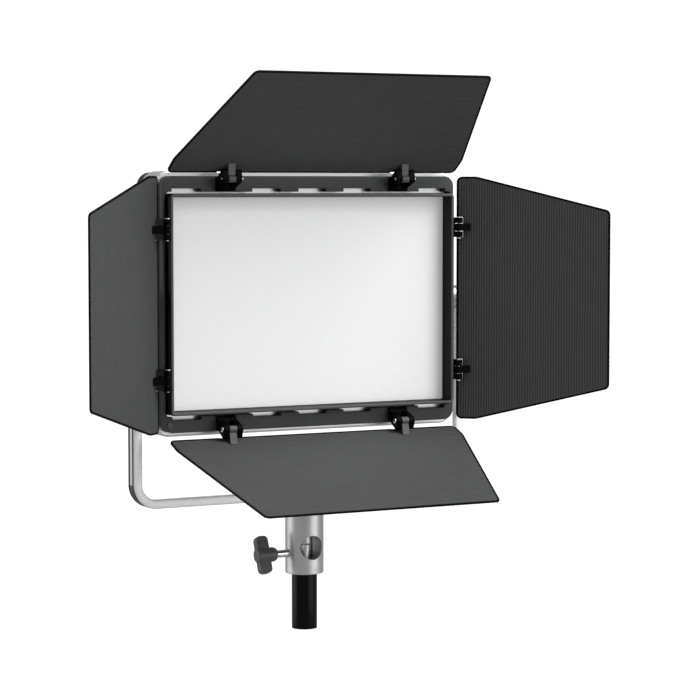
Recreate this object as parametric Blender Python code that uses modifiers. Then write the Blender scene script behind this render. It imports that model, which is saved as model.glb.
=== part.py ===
"""LED panel light on a yoke, with four barn-door leaves, a stand receiver and the top of its stand.

Metres, +Z up. The origin is the centre of the stand tube's cut bottom end, the light faces -Y,
and +X is on the viewer's right. Run: blender --background --python part.py
"""

import math

import bmesh
import bpy
from mathutils import Matrix, Vector

# ---- Driving dimensions -------------------------------------------------------------------------
GAP = 0.0003  # between pieces that touch
PIVOT_Z = 0.3318  # height of the tilt axis, and of the panel's centre
PIVOT_Y = 0.0073  # depth of the tilt axis and the yoke, behind the receiver's own axis

STAND_RADIUS = 0.0129
STAND_TOP = 0.0561
SOCKET_DEPTH = 0.036  # how deep the spigot sits in the stand tube
SPIGOT_RADIUS = 0.008
SPIGOT_TOP = 0.120
SPIGOT_WAIST = 0.0072
RECEIVER_RADIUS = 0.0195
RECEIVER_BOTTOM = STAND_TOP + GAP
RECEIVER_BORE = SPIGOT_RADIUS + GAP
HEADROOM = 0.0012  # over the spigot, in the receiver's bore
WINDOW_RADIUS = 0.0122
WINDOW_Z = 0.0838
WINDOW_BACK = -0.003  # the depth that the window is cut to
CLAMP_Z = 0.0772  # height of the clamp screw
WING_REACH = 0.019  # half the wing knob, tip to tip
WING_LEAN = 21.0  # degrees that the wings stand off vertical at rest

YOKE_HALF = 0.1855  # centre to the arm's outer face
YOKE_BOTTOM = 0.1310
YOKE_BAR = 0.0089
YOKE_DEPTH = 0.0156
YOKE_INNER = 0.0070  # how deep the inner face runs before the back corner slants away
YOKE_SLANT = 0.0047  # how far the back corner is cut into the bar's thickness
YOKE_BEND = 0.024  # outer radius of the two bends
YOKE_ABOVE_PIVOT = 0.012
BOLT_RADIUS = 0.004
BOLT_HOLE = BOLT_RADIUS + GAP
YOKE_BOLT_END = 0.1245  # height of the yoke bolt's tip, above the receiver's bore
YOKE_BOLT_HEAD = 0.0065
YOKE_BOLT_SEAT = YOKE_BOTTOM + 0.0040  # the floor of the recess that the bolt's head sits in

HOUSING_HALF = (0.167, 0.12965)
HOUSING_CORNER = 0.015
HOUSING_FRONT = -0.0087
HOUSING_BACK = 0.022
HOUSING_WALL = 0.003
COVER_BACK = 0.038
COVER_INSET = 0.001  # from the housing's outline to the rear cover's
COVER_WALL = 0.0025

RIM_HALF = (0.1575, 0.1075)
RIM_WALL = 0.0029
RIM_CORNER = 0.004
RIM_FRONT = -0.0287
DIFFUSER_FRONT = -0.0109
DIFFUSER_THICK = 0.0025
BOARD_FRONT = 0.0083

PLATE_HALF = (0.162, 0.125)
PLATE_CORNER = 0.010
PLATE_WINDOW = (0.1593, 0.1095)
PLATE_FRONT = -0.019
NOTCH_CENTRES = (-0.1367, -0.0505, 0.0, 0.0505, 0.1367)
NOTCH_LENGTH = 0.031
NOTCH_DEPTH = 0.0033

LEAF_END = 0.15465  # hinge pin to the leaf's free edge
LEAF_STRAIGHT = 0.01565  # hinge pin to where the leaf's sides start to draw in
LEAF_THICK = 0.0015
LEAF_CORNER = 0.006
LEAF_OFFSET = 0.0115  # hinge pin to the leaf's inner face
HEM_WIDTH = 0.0025
HEM_PROUD = 0.0004

PIN_RADIUS = 0.0015
PIN_HOLE = PIN_RADIUS + GAP
EAR_RADIUS = 0.0042
EAR_PEAK = 0.0090  # how far a rail bracket's ears rise past the pin
BRACKET_WIDTH = 0.020
SLOT_WIDTH = 0.0084
TAB_WIDTH = 0.0074
NOTCH_WIDTH = 0.0208  # the cut-out in a leaf at each hinge

CONTROL_Z = PIVOT_Z - 0.062  # height of the row of controls on the back
ROCKER_X = 0.1
DIAL_X = 0.052
INLET_X = -0.1
BUTTON_Z = CONTROL_Z - 0.026
DISPLAY = (0.056, 0.0016, 0.026)  # width, thickness and height
ROCKER_SIZE = (0.013, 0.0104)  # width, and pivot to its round end
ROCKER_PIVOT_Y = COVER_BACK - 0.001
ROCKER_REST = 8.0  # degrees that the rocker leans at rest, pressed to off
SHAFT_RADIUS = 0.003
BUTTON_RADIUS = 0.0047
INLET_RADIUS = 0.006

# side: (turn about the panel's front axis, pin depth, pin distance out, opening, hinges)
SIDES = {
    "top": (0, -0.03485, 0.1222, 125.0, {"left": -0.096, "right": 0.096}),
    "bottom": (180, -0.03485, 0.1222, 111.7, {"right": -0.096, "left": 0.096}),
    "left": (-90, -0.0302, 0.162, 135.8, {"lower": -0.073, "upper": 0.073}),
    "right": (90, -0.0302, 0.162, 135.8, {"upper": -0.073, "lower": 0.073}),
}

# side: (half the leaf's width, how far each side draws in, hinge pin back to the hinged edge,
#        hinge pin to the end of the cut-out at each hinge)
LEAVES = {
    "top": (0.1596, 0.0334, 0.0062, -0.0044),
    "bottom": (0.1596, 0.0334, 0.0050, -0.0044),
    "left": (0.1248, 0.0346, 0.0053, 0.0015),
    "right": (0.1248, 0.0346, 0.0053, 0.0015),
}

# finish: (colour, roughness, metallic)
FINISHES = {
    "silver": ((0.62, 0.63, 0.65), 0.35, 1.0),
    "satin_aluminium": ((0.55, 0.55, 0.56), 0.4, 1.0),
    "dark_grey": ((0.065, 0.066, 0.07), 0.55, 0.0),
    "leaf_grey": ((0.075, 0.076, 0.08), 0.6, 0.0),
    "black_plastic": ((0.012, 0.012, 0.013), 0.5, 0.0),
    "black_paint": ((0.01, 0.01, 0.011), 0.35, 0.0),
    "steel": ((0.6, 0.6, 0.6), 0.25, 1.0),
    "brass": ((0.7, 0.52, 0.25), 0.35, 1.0),
    "opal": ((0.85, 0.86, 0.87), 0.5, 0.0),
    "white": ((0.85, 0.85, 0.85), 0.6, 0.0),
    "circuit": ((0.02, 0.12, 0.05), 0.5, 0.0),
    "display": ((0.01, 0.015, 0.02), 0.1, 0.0),
}

FRONT = Matrix.Rotation(math.pi / 2, 4, "X")  # a flat outline's own Z turned to face -Y
ALONG_X = Matrix.Rotation(math.pi / 2, 4, "Y")  # a turned piece's own Z turned to +X
ALONG_MINUS_X = Matrix.Rotation(-math.pi / 2, 4, "Y")
ALONG_Y = Matrix.Rotation(-math.pi / 2, 4, "X")
CENTRE = Matrix.Translation((0, 0, PIVOT_Z))
PIVOT = Matrix.Translation((0, PIVOT_Y, PIVOT_Z))

WELD = 1e-6  # points closer than this become one
SHARP = math.radians(35)  # edges bent further than this are shaded sharp
THROUGH = 0.02  # how far a cutter runs past what it cuts

parts = None  # the collection of the pieces
cutters = None  # the collection of the cutting shapes
finishes = {}


# ---- Scene and materials ------------------------------------------------------------------------
def clear_scene():
    for item in list(bpy.data.objects):
        bpy.data.objects.remove(item, do_unlink=True)


def make_collection(name):
    made = bpy.data.collections.new(name)
    bpy.context.scene.collection.children.link(made)
    return made


def finish_of(name):
    if name not in finishes:
        colour, roughness, metallic = FINISHES[name]
        made = bpy.data.materials.new(name)
        made.use_nodes = True
        shader = made.node_tree.nodes["Principled BSDF"]
        shader.inputs["Base Color"].default_value = (*colour, 1.0)
        shader.inputs["Roughness"].default_value = roughness
        shader.inputs["Metallic"].default_value = metallic
        finishes[name] = made
    return finishes[name]


def add_object(name, shape, matrix, finish=None):
    """A piece with its finish or, when it has none, a cutter. The bmesh is used up."""
    bmesh.ops.remove_doubles(shape, verts=shape.verts, dist=WELD)
    bmesh.ops.recalc_face_normals(shape, faces=shape.faces)
    mesh = bpy.data.meshes.new(name)
    shape.to_mesh(mesh)
    shape.free()
    mesh.shade_smooth()
    mesh.set_sharp_from_angle(angle=SHARP)
    made = bpy.data.objects.new(name, mesh)
    made.matrix_world = matrix
    if finish:
        mesh.materials.append(finish_of(finish))
        parts.objects.link(made)
    else:
        made.hide_render = True
        made.display_type = "WIRE"
        cutters.objects.link(made)
    return made


def pivot(name, matrix):
    """An empty on a joint's axis."""
    made = bpy.data.objects.new(name, None)
    made.empty_display_size = 0.02
    made.matrix_world = matrix
    parts.objects.link(made)
    return made


def ride(joint, *pieces):
    """Parents pieces to a joint's empty, and leaves them where they are."""
    for piece in pieces:
        piece.parent = joint
        piece.matrix_parent_inverse = joint.matrix_world.inverted()


# ---- Shapes -------------------------------------------------------------------------------------
def rounded(corners, radius, steps=4):
    """The closed outline through corners, each turned into an arc of the radius (one, or a list)."""
    radii = radius if isinstance(radius, (list, tuple)) else [radius] * len(corners)
    points = []
    for i, corner in enumerate(corners):
        here = Vector(corner)
        back = (Vector(corners[i - 1]) - here).normalized()
        on = (Vector(corners[(i + 1) % len(corners)]) - here).normalized()
        if radii[i] == 0:
            points.append(here)
            continue
        half = back.angle(on) / 2
        start = back * (radii[i] / math.tan(half))
        middle = (back + on).normalized() * (radii[i] / math.sin(half))
        arm = start - middle
        turn = math.pi - 2 * half
        if back.x * on.y - back.y * on.x > 0:
            turn = -turn
        for step in range(steps + 1):
            angle = turn * step / steps
            c, s = math.cos(angle), math.sin(angle)
            points.append(here + middle + Vector((c * arm.x - s * arm.y, s * arm.x + c * arm.y)))
    return points


def rectangle(half_x, half_y, radius=0.0, y=0.0, steps=4):
    corners = [(-half_x, y - half_y), (half_x, y - half_y), (half_x, y + half_y), (-half_x, y + half_y)]
    return rounded(corners, radius, steps)


def arc(x, y, radius, start, end, steps):
    """Points on an arc, angles in degrees from +X."""
    angles = [math.radians(start + (end - start) * i / steps) for i in range(steps + 1)]
    return [(x + radius * math.cos(a), y + radius * math.sin(a)) for a in angles]


def lobed(radius, depth, lobes, steps):
    """A round outline with shallow lobes."""
    points = []
    for i in range(steps):
        angle = 2 * math.pi * i / steps
        reach = radius - depth + depth * math.cos(lobes * angle)
        points.append((reach * math.cos(angle), reach * math.sin(angle)))
    return points


def grown(half, by):
    return half[0] + by, half[1] + by


def evaluated(guide):
    """A bmesh of the guide object as Blender evaluates it. The guide is removed."""
    bpy.context.scene.collection.objects.link(guide)
    graph = bpy.context.evaluated_depsgraph_get()
    mesh = bpy.data.meshes.new_from_object(guide.evaluated_get(graph))
    bpy.data.objects.remove(guide, do_unlink=True)
    shape = bmesh.new()
    shape.from_mesh(mesh)
    bpy.data.meshes.remove(mesh)
    return shape


def flat(name, loops, thickness, matrix, finish=None):
    """A sheet of the filled outlines (later ones are holes), centred on its own XY plane."""
    curve = bpy.data.curves.new(name, "CURVE")
    curve.dimensions = "2D"
    curve.fill_mode = "BOTH"
    curve.extrude = thickness / 2
    for loop in loops:
        spline = curve.splines.new("POLY")
        spline.points.add(len(loop) - 1)
        for point, place in zip(spline.points, loop):
            point.co = (place[0], place[1], 0, 1)
        spline.use_cyclic_u = True
    return add_object(name, evaluated(bpy.data.objects.new(name, curve)), matrix, finish)


def panel(name, loops, front, back, finish=None):
    """A sheet parallel to the light's face, between two depths, its outlines in X and Z."""
    place = Matrix.Translation((0, (front + back) / 2, PIVOT_Z)) @ FRONT
    return flat(name, loops, back - front, place, finish)


def bars(name, boxes, matrix, finish=None):
    """Boxes (centre, size) in one mesh."""
    shape = bmesh.new()
    for centre, size in boxes:
        place = Matrix.Translation(centre) @ Matrix.Diagonal((*size, 1))
        bmesh.ops.create_cube(shape, size=1, matrix=place)
    return add_object(name, shape, matrix, finish)


def turned(name, profile, matrix, finish=None, steps=24, closed=False):
    """A profile of (radius, height) turned about its own Z. It runs down its outer side."""
    mesh = bpy.data.meshes.new(name)
    edges = [(i, i + 1) for i in range(len(profile) - 1)]
    if closed:
        edges.append((len(profile) - 1, 0))
    mesh.from_pydata([(r, 0, z) for r, z in profile], edges, [])
    guide = bpy.data.objects.new(name, mesh)
    screw = guide.modifiers.new("Turn", "SCREW")
    screw.steps = steps
    screw.render_steps = steps
    screw.use_merge_vertices = True
    screw.merge_threshold = WELD
    return add_object(name, evaluated(guide), matrix, finish)


def rod(name, radius, low, high, matrix, finish=None, steps=24):
    shape = bmesh.new()
    middle = Matrix.Translation((0, 0, (low + high) / 2))
    bmesh.ops.create_cone(
        shape, cap_ends=True, segments=steps, radius1=radius, radius2=radius, depth=high - low, matrix=middle
    )
    return add_object(name, shape, matrix, finish)


def chamfered_rod(name, radius, low, high, edge, matrix, finish, steps=20):
    profile = [(0, high), (radius - edge, high), (radius, high - edge)]
    profile += [(radius, low + edge), (radius - edge, low), (0, low)]
    return turned(name, profile, matrix, finish, steps)


def washer(name, inner, outer, low, high, matrix, finish):
    profile = [(outer, high), (outer, low), (inner, low), (inner, high)]
    return turned(name, profile, matrix, finish, closed=True)


def boolean(piece, tool, operation):
    change = piece.modifiers.new(operation.title(), "BOOLEAN")
    change.operation = operation
    change.object = tool
    change.solver = "EXACT"


def cut(piece, *tools):
    for tool in tools:
        boolean(piece, tool, "DIFFERENCE")


def unite(piece, *tools):
    for tool in tools:
        boolean(piece, tool, "UNION")


def bevel(piece, width, segments=1, angle=50):
    change = piece.modifiers.new("Bevel", "BEVEL")
    change.width = width
    change.segments = segments
    change.limit_method = "ANGLE"
    change.angle_limit = math.radians(angle)


# ---- Stand top, receiver and yoke ---------------------------------------------------------------
def stand():
    socket, edge = STAND_TOP - SOCKET_DEPTH, 0.0008
    profile = [(0, socket), (RECEIVER_BORE, socket), (RECEIVER_BORE, STAND_TOP)]
    profile += [(STAND_RADIUS - edge, STAND_TOP), (STAND_RADIUS, STAND_TOP - edge)]
    profile += [(STAND_RADIUS, 0), (0, 0)]
    turned("stand_tube", profile, Matrix(), "black_paint", 32)

    waist, slope, tip = 0.008, 0.0015, 0.001
    profile = [(0, SPIGOT_TOP), (SPIGOT_RADIUS - tip, SPIGOT_TOP), (SPIGOT_RADIUS, SPIGOT_TOP - tip)]
    profile += [(SPIGOT_RADIUS, CLAMP_Z + waist + slope), (SPIGOT_WAIST, CLAMP_Z + waist)]
    profile += [(SPIGOT_WAIST, CLAMP_Z - waist), (SPIGOT_RADIUS, CLAMP_Z - waist - slope)]
    profile += [(SPIGOT_RADIUS, socket + GAP), (0, socket + GAP)]
    turned("stand_spigot", profile, Matrix(), "steel")


def receiver():
    top, edge = YOKE_BOTTOM - GAP, 0.0012
    bore_top = SPIGOT_TOP + HEADROOM
    profile = [(RECEIVER_RADIUS, top), (RECEIVER_RADIUS, RECEIVER_BOTTOM + edge)]
    profile += [(RECEIVER_RADIUS - edge, RECEIVER_BOTTOM), (RECEIVER_BORE, RECEIVER_BOTTOM)]
    profile = [(0, top)] + profile + [(RECEIVER_BORE, bore_top), (0, bore_top)]
    made = turned("receiver", profile, Matrix(), "satin_aluminium", 36)
    window_way = Matrix.Translation((0, 0, WINDOW_Z)) @ ALONG_Y
    screw_way = Matrix.Translation((0, 0, CLAMP_Z)) @ ALONG_MINUS_X
    bolt_way = Matrix.Translation((0, PIVOT_Y, 0))
    cut(
        made,
        rod("cut_receiver_bolt_way", BOLT_HOLE, YOKE_BOLT_END - 0.0005, top + THROUGH, bolt_way, steps=20),
        rod("cut_window", WINDOW_RADIUS, -RECEIVER_RADIUS - THROUGH, WINDOW_BACK, window_way),
        rod("cut_clamp_way", BOLT_HOLE, SPIGOT_RADIUS / 2, RECEIVER_RADIUS + THROUGH, screw_way, steps=20),
    )
    return made


def yoke():
    top, low, out = PIVOT_Z + YOKE_ABOVE_PIVOT, YOKE_BOTTOM, YOKE_HALF
    inside = YOKE_HALF - YOKE_BAR
    corners = [(-out, top), (-out, low), (out, low), (out, top)]
    corners += [(inside, top), (inside, low + YOKE_BAR), (-inside, low + YOKE_BAR), (-inside, top)]
    tip, bend, edge = 0.001, YOKE_BEND, 0.0008
    outline = rounded(corners, [tip, bend, bend, tip, tip, bend - YOKE_BAR, bend - YOKE_BAR, tip], 5)
    plane = Matrix.Translation((0, PIVOT_Y, 0))
    made = flat("yoke", [outline], YOKE_DEPTH, plane @ FRONT, "silver")
    bevel(made, edge)
    cut(
        made,
        yoke_flare(),
        rod("cut_pivot_way", BOLT_HOLE, -out - THROUGH, out + THROUGH, PIVOT @ ALONG_X),
        rod("cut_yoke_bolt_way", BOLT_HOLE, low - THROUGH, low + THROUGH, plane),
        rod("cut_yoke_bolt_seat", YOKE_BOLT_HEAD + GAP, YOKE_BOLT_SEAT, low + THROUGH, plane),
    )
    return made


def yoke_flare():
    """A cutter as wide as the yoke's inside, spreading to the back to slant the inner back corner."""
    start, back, past = YOKE_INNER - YOKE_DEPTH / 2, YOKE_DEPTH / 2, 0.001
    slope = YOKE_SLANT / (back - start)
    shape, rings = bmesh.new(), []
    for depth in (start - past, back + past):
        spread = slope * (depth - start)
        side, low = YOKE_HALF - YOKE_BAR + spread, YOKE_BOTTOM + YOKE_BAR - spread
        top, bend = PIVOT_Z + YOKE_ABOVE_PIVOT + past, YOKE_BEND - YOKE_BAR + spread
        outline = rounded([(-side, top), (-side, low), (side, low), (side, top)], [0, bend, bend, 0], 5)
        rings.append([shape.verts.new((x, PIVOT_Y + depth, z)) for x, z in outline])
    front, rear = rings
    shape.faces.new(front)
    shape.faces.new(rear)
    for i in range(len(front)):
        shape.faces.new((front[i - 1], front[i], rear[i], rear[i - 1]))
    return add_object("cut_yoke_flare", shape, Matrix())


def yoke_bolt():
    """The cap screw that holds the yoke on the receiver."""
    radius, height, edge = YOKE_BOLT_HEAD, 0.008, 0.0006
    seat, end, place = YOKE_BOLT_SEAT + GAP, YOKE_BOLT_END, Matrix.Translation((0, PIVOT_Y, 0))
    profile = [(0, seat + height), (radius - edge, seat + height), (radius, seat + height - edge)]
    profile += [(radius, seat), (BOLT_RADIUS, seat), (BOLT_RADIUS, end), (0, end)]
    made = turned("yoke_bolt", profile, place, "steel")
    key_radius, key_depth = 0.003, 0.0045
    key_way = rod("cut_key_way", key_radius, seat + height - key_depth, seat + THROUGH, place, steps=6)
    cut(made, key_way)
    return made


def clamp():
    """The pad that presses on the spigot, its screw, and the wing knob."""
    axis = Matrix.Translation((0, 0, CLAMP_Z)) @ ALONG_MINUS_X
    pad_radius, pad_front = 0.0036, SPIGOT_WAIST + GAP
    pad_back = pad_front + 0.0023
    screw_end, edge = 0.044, 0.0005
    pad = rod("clamp_pad", pad_radius, pad_front, pad_back, axis, "brass", 20)
    screw = chamfered_rod("clamp_screw", BOLT_RADIUS, pad_back + GAP, screw_end, edge, axis, "steel")

    start, end, thick, corner = 0.0402, 0.0530, 0.0082, 0.0045
    lean = axis @ Matrix.Rotation(math.radians(WING_LEAN), 4, "Z")
    outline = rectangle(WING_REACH, (end - start) / 2, corner, y=(start + end) / 2)
    wing = flat("clamp_wing", [outline], thick, lean @ FRONT, "dark_grey")
    bevel(wing, 0.0018, 2)
    hub, neck, collar, crown = 0.0074, 0.0060, start - 0.008, end + 0.0008
    profile = [(0, crown), (hub - 0.0008, crown), (hub, crown - 0.0012), (hub, collar + 0.003)]
    profile += [(neck, collar), (0, collar)]
    unite(wing, turned("join_wing_hub", profile, axis))
    cut(wing, rod("cut_wing_bore", BOLT_HOLE, collar - THROUGH, screw_end + GAP, axis, steps=20))
    return pad, screw, wing


def tilt_lock(side):
    """One side's friction disc, washer, bolt and knob. side is -1 on the left and 1 on the right."""
    name = "left" if side < 0 else "right"
    axis = PIVOT @ (ALONG_MINUS_X if side < 0 else ALONG_X)
    inside, outside = YOKE_HALF - YOKE_BAR - GAP, YOKE_HALF + GAP
    disc_radius, ring_radius, ring_back = 0.012, 0.0105, outside + 0.002
    disc_start = HOUSING_HALF[0] + GAP
    disc = washer(f"pivot_disc_{name}", BOLT_HOLE, disc_radius, disc_start, inside, axis, "satin_aluminium")
    ring = washer(f"tilt_washer_{name}", BOLT_HOLE, ring_radius, outside, ring_back, axis, "steel")

    seat = ring_back + GAP
    boss_radius, grip_radius, grip_start, grip_end = 0.0095, 0.0165, seat + 0.004, seat + 0.018
    lobes, lobe_depth, edge = 8, 0.0011, 0.0015
    place = axis @ Matrix.Translation((0, 0, (grip_start + grip_end) / 2))
    outline = lobed(grip_radius, lobe_depth, lobes, 4 * lobes)
    knob = flat(f"tilt_knob_{name}", [outline], grip_end - grip_start, place, "black_plastic")
    bevel(knob, edge)
    bolt_end = seat + 0.012
    unite(knob, rod(f"join_tilt_boss_{name}", boss_radius, seat, grip_start + edge, axis))
    cut(knob, rod(f"cut_tilt_bore_{name}", BOLT_HOLE, seat - THROUGH, bolt_end + GAP, axis, steps=20))
    tip = HOUSING_HALF[0] - HOUSING_WALL + GAP  # inside the housing's wall, clear of the heat sink
    bolt = chamfered_rod(f"tilt_bolt_{name}", BOLT_RADIUS, tip, bolt_end, 0.0005, axis, "steel")
    return disc, ring, knob, bolt


# ---- Lamp head ----------------------------------------------------------------------------------
def housing_frame():
    outline = rectangle(*HOUSING_HALF, HOUSING_CORNER, steps=5)
    made = panel("housing_frame", [outline], HOUSING_FRONT, HOUSING_BACK, "silver")
    bevel(made, 0.0015)
    inside = rectangle(*grown(HOUSING_HALF, -HOUSING_WALL), HOUSING_CORNER - HOUSING_WALL)
    clearance = 0.0004
    opening = rectangle(*grown(RIM_HALF, clearance), RIM_CORNER + clearance)
    reach = HOUSING_HALF[0] + THROUGH
    cut(
        made,
        panel("cut_housing_inside", [inside], HOUSING_FRONT + HOUSING_WALL, HOUSING_BACK + THROUGH),
        panel("cut_housing_front", [opening], HOUSING_FRONT - THROUGH, HOUSING_FRONT + THROUGH),
        rod("cut_housing_pivots", BOLT_HOLE, -reach, reach, PIVOT @ ALONG_X, steps=20),
    )
    return made


def front_bezel():
    """The forward rim that holds the diffuser, and the flange that it stands on."""
    flange_front, flange_thick, flange_width = HOUSING_FRONT + HOUSING_WALL + GAP, 0.0019, 0.005
    back = flange_front + flange_thick + 0.0001
    inner_corner = RIM_CORNER - RIM_WALL
    wall = [rectangle(*RIM_HALF, RIM_CORNER), rectangle(*grown(RIM_HALF, -RIM_WALL), inner_corner, steps=2)]
    made = panel("front_bezel", wall, RIM_FRONT, back, "dark_grey")
    flange = [rectangle(*grown(RIM_HALF, flange_width), RIM_CORNER)]
    flange.append(rectangle(*grown(RIM_HALF, -RIM_WALL / 3), RIM_CORNER - RIM_WALL / 3))
    unite(made, panel("join_bezel_flange", flange, flange_front, flange_front + flange_thick))
    return made


def light_engine():
    """Diffuser, reflector frame and LED board, front to back."""
    inner, corner = grown(RIM_HALF, -RIM_WALL - 0.0004), 0.0015
    diffuser_back, reflector_wall = DIFFUSER_FRONT + DIFFUSER_THICK, 0.002
    sheet = rectangle(*inner, corner, steps=2)
    diffuser = panel("diffuser_panel", [sheet], DIFFUSER_FRONT, diffuser_back, "opal")
    walls = [sheet, rectangle(*grown(inner, -reflector_wall))]
    reflector = panel("reflector_frame", walls, diffuser_back + GAP, BOARD_FRONT - 4 * GAP, "white")
    return diffuser, reflector, led_board(inner)


def led_board(half, columns=10, rows=6, chip=0.006, rise=0.0009, thick=0.0016):
    """The board, with a raised chip at each place of a grid."""
    def stations(reach, count):
        pitch = 2 * reach / count
        places = [-reach]
        for i in range(count):
            middle = -reach + pitch * (i + 0.5)
            places += [middle - chip / 2, middle + chip / 2]
        return places + [reach]

    xs, zs = stations(half[0], columns), stations(half[1], rows)
    shape = bmesh.new()
    grid = [[shape.verts.new((x, BOARD_FRONT, PIVOT_Z + z)) for x in xs] for z in zs]
    chips = []
    for j in range(len(zs) - 1):
        for i in range(len(xs) - 1):
            face = shape.faces.new((grid[j][i], grid[j][i + 1], grid[j + 1][i + 1], grid[j + 1][i]))
            if i % 2 and j % 2:
                chips.append(face)
    backing = bmesh.ops.extrude_face_region(shape, geom=list(shape.faces))
    moved = [item for item in backing["geom"] if isinstance(item, bmesh.types.BMVert)]
    bmesh.ops.translate(shape, verts=moved, vec=(0, thick, 0))
    raised = bmesh.ops.extrude_discrete_faces(shape, faces=chips)["faces"]
    bmesh.ops.translate(shape, verts=[v for face in raised for v in face.verts], vec=(0, -rise, 0))
    flat_back = [face for face in shape.faces if face.calc_center_median().y > BOARD_FRONT + thick - WELD]
    bmesh.ops.dissolve_faces(shape, faces=flat_back)
    return add_object("led_board", shape, Matrix(), "circuit")


def heat_sink():
    """The chassis plate across the housing, with cooling fins on its back."""
    front, thick, fin_tip, root = 0.0102, 0.003, 0.0217, 0.001
    clearance = 0.0004
    outline = rectangle(*grown(HOUSING_HALF, -HOUSING_WALL - clearance), HOUSING_CORNER - HOUSING_WALL)
    made = panel("heat_sink", [outline], front, front + thick, "satin_aluminium")
    count, pitch, fin, comb_half, fin_length = 13, 0.022, 0.002, 0.14, 0.17
    low, high = front + root, front + thick + root
    comb = [(-comb_half, low), (comb_half, low), (comb_half, high)]
    for i in reversed(range(count)):
        x = (i - (count - 1) / 2) * pitch
        comb += [(x + fin / 2, high), (x + fin / 2, fin_tip), (x - fin / 2, fin_tip), (x - fin / 2, high)]
    comb.append((-comb_half, high))
    unite(made, flat("join_fins", [comb], fin_length, CENTRE))
    return made


def driver_board():
    """The LED driver: a circuit board with its three largest components."""
    low, thick, size = 0.0245, 0.0016, (0.12, 0.0016, 0.07)
    above_centre, tall, sunk = 0.02, 0.006, 0.0005
    place = Matrix.Translation((0, 0, PIVOT_Z + above_centre))
    made = bars("driver_board", [((0, low + thick / 2, 0), size)], place, "circuit")
    blocks = {"choke": (-0.035, 0.012, 0.026, 0.022), "bridge": (0.012, -0.014, 0.030, 0.012)}
    blocks["capacitor"] = (0.042, 0.016, 0.014, 0.024)
    for name, (x, z, wide, high) in blocks.items():
        centre = (x, low + thick - sunk + tall / 2, z)
        unite(made, bars(f"join_{name}", [(centre, (wide, tall, high))], place))
    return made


def on_back(x, z):
    """The place of a rear control, its own Z pointing out of the back."""
    return Matrix.Translation((x, 0, z)) @ ALONG_Y


def rear_cover():
    front = HOUSING_BACK + GAP
    outline = rectangle(*grown(HOUSING_HALF, -COVER_INSET), HOUSING_CORNER - COVER_INSET, steps=5)
    made = panel("rear_cover", [outline], front, COVER_BACK, "black_plastic")
    bevel(made, 0.002)
    inner_half = grown(HOUSING_HALF, -COVER_INSET - COVER_WALL)
    inside = rectangle(*inner_half, HOUSING_CORNER - COVER_INSET - COVER_WALL)
    rows, pitch, slot_x, slot_low, slot = 7, 0.009, 0.092, PIVOT_Z + 0.04, (0.07, 0.02, 0.0032)
    slots = []
    for side in (-1, 1):
        slots += [((side * slot_x, COVER_BACK, slot_low + pitch * row), slot) for row in range(rows)]
    pocket = (DISPLAY[0] + 2 * GAP, 2 * DISPLAY[1], DISPLAY[2] + 2 * GAP)
    rocker_way = (ROCKER_SIZE[0] + 2 * GAP, THROUGH, 2 * ROCKER_SIZE[1] + 0.0008)
    ways = {"button": (0, BUTTON_Z, BUTTON_RADIUS), "inlet": (INLET_X, CONTROL_Z, INLET_RADIUS)}
    ways["left_dial"] = (-DIAL_X, CONTROL_Z, SHAFT_RADIUS)
    ways["right_dial"] = (DIAL_X, CONTROL_Z, SHAFT_RADIUS)
    cut(
        made,
        panel("cut_cover_inside", [inside], front - THROUGH, COVER_BACK - COVER_WALL),
        bars("cut_vents", slots, Matrix()),
        bars("cut_display_pocket", [((0, COVER_BACK, CONTROL_Z), pocket)], Matrix()),
        bars("cut_rocker_way", [((ROCKER_X, COVER_BACK, CONTROL_Z), rocker_way)], Matrix()),
    )
    for name, (x, z, radius) in ways.items():
        cut(made, rod(f"cut_{name}_way", radius + GAP, front, COVER_BACK + THROUGH, on_back(x, z), steps=20))
    return made


def dial(name, x):
    """A rear dial: a cap outside the cover, on a shaft through it."""
    seat, height, radius, crown, edge = COVER_BACK + 0.0005, 0.013, 0.012, 0.0115, 0.001
    end = 0.033
    profile = [(0, seat + height), (crown - edge, seat + height), (crown, seat + height - edge)]
    profile += [(radius, seat), (SHAFT_RADIUS, seat), (SHAFT_RADIUS, end), (0, end)]
    made = turned(name, profile, on_back(x, CONTROL_Z), "black_plastic")
    mark_size, mark_up = (0.0014, 0.002, 0.006), 0.0075
    mark = ((x, seat + height + 0.0005, CONTROL_Z + mark_up), mark_size)
    cut(made, bars(f"cut_mark_{name}", [mark], Matrix()))
    return made


def display_window():
    centre = (0, COVER_BACK + GAP - DISPLAY[1] / 2, CONTROL_Z)
    made = bars("display_window", [(centre, DISPLAY)], Matrix(), "display")
    bevel(made, 0.0003)
    return made


def dc_inlet():
    """The power inlet: a collar on the cover round a socket with a centre pin."""
    face, collar, edge = COVER_BACK + 0.002, 0.0083, 0.0004
    pin, bore, floor, end = 0.001, 0.0032, 0.031, 0.0285
    profile = [(0, face - 0.002), (pin, face - 0.002), (pin, floor), (bore, floor), (bore, face)]
    profile += [(collar - edge, face), (collar, face - edge), (collar, COVER_BACK + GAP)]
    profile += [(INLET_RADIUS, COVER_BACK + GAP), (INLET_RADIUS, end), (0, end)]
    return turned("dc_inlet", profile, on_back(INLET_X, CONTROL_Z), "black_plastic", 20)


def mode_button():
    low, high, edge = 0.0335, COVER_BACK + 0.0018, 0.0005
    return chamfered_rod("mode_button", BUTTON_RADIUS, low, high, edge, on_back(0, BUTTON_Z), "dark_grey")


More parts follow.
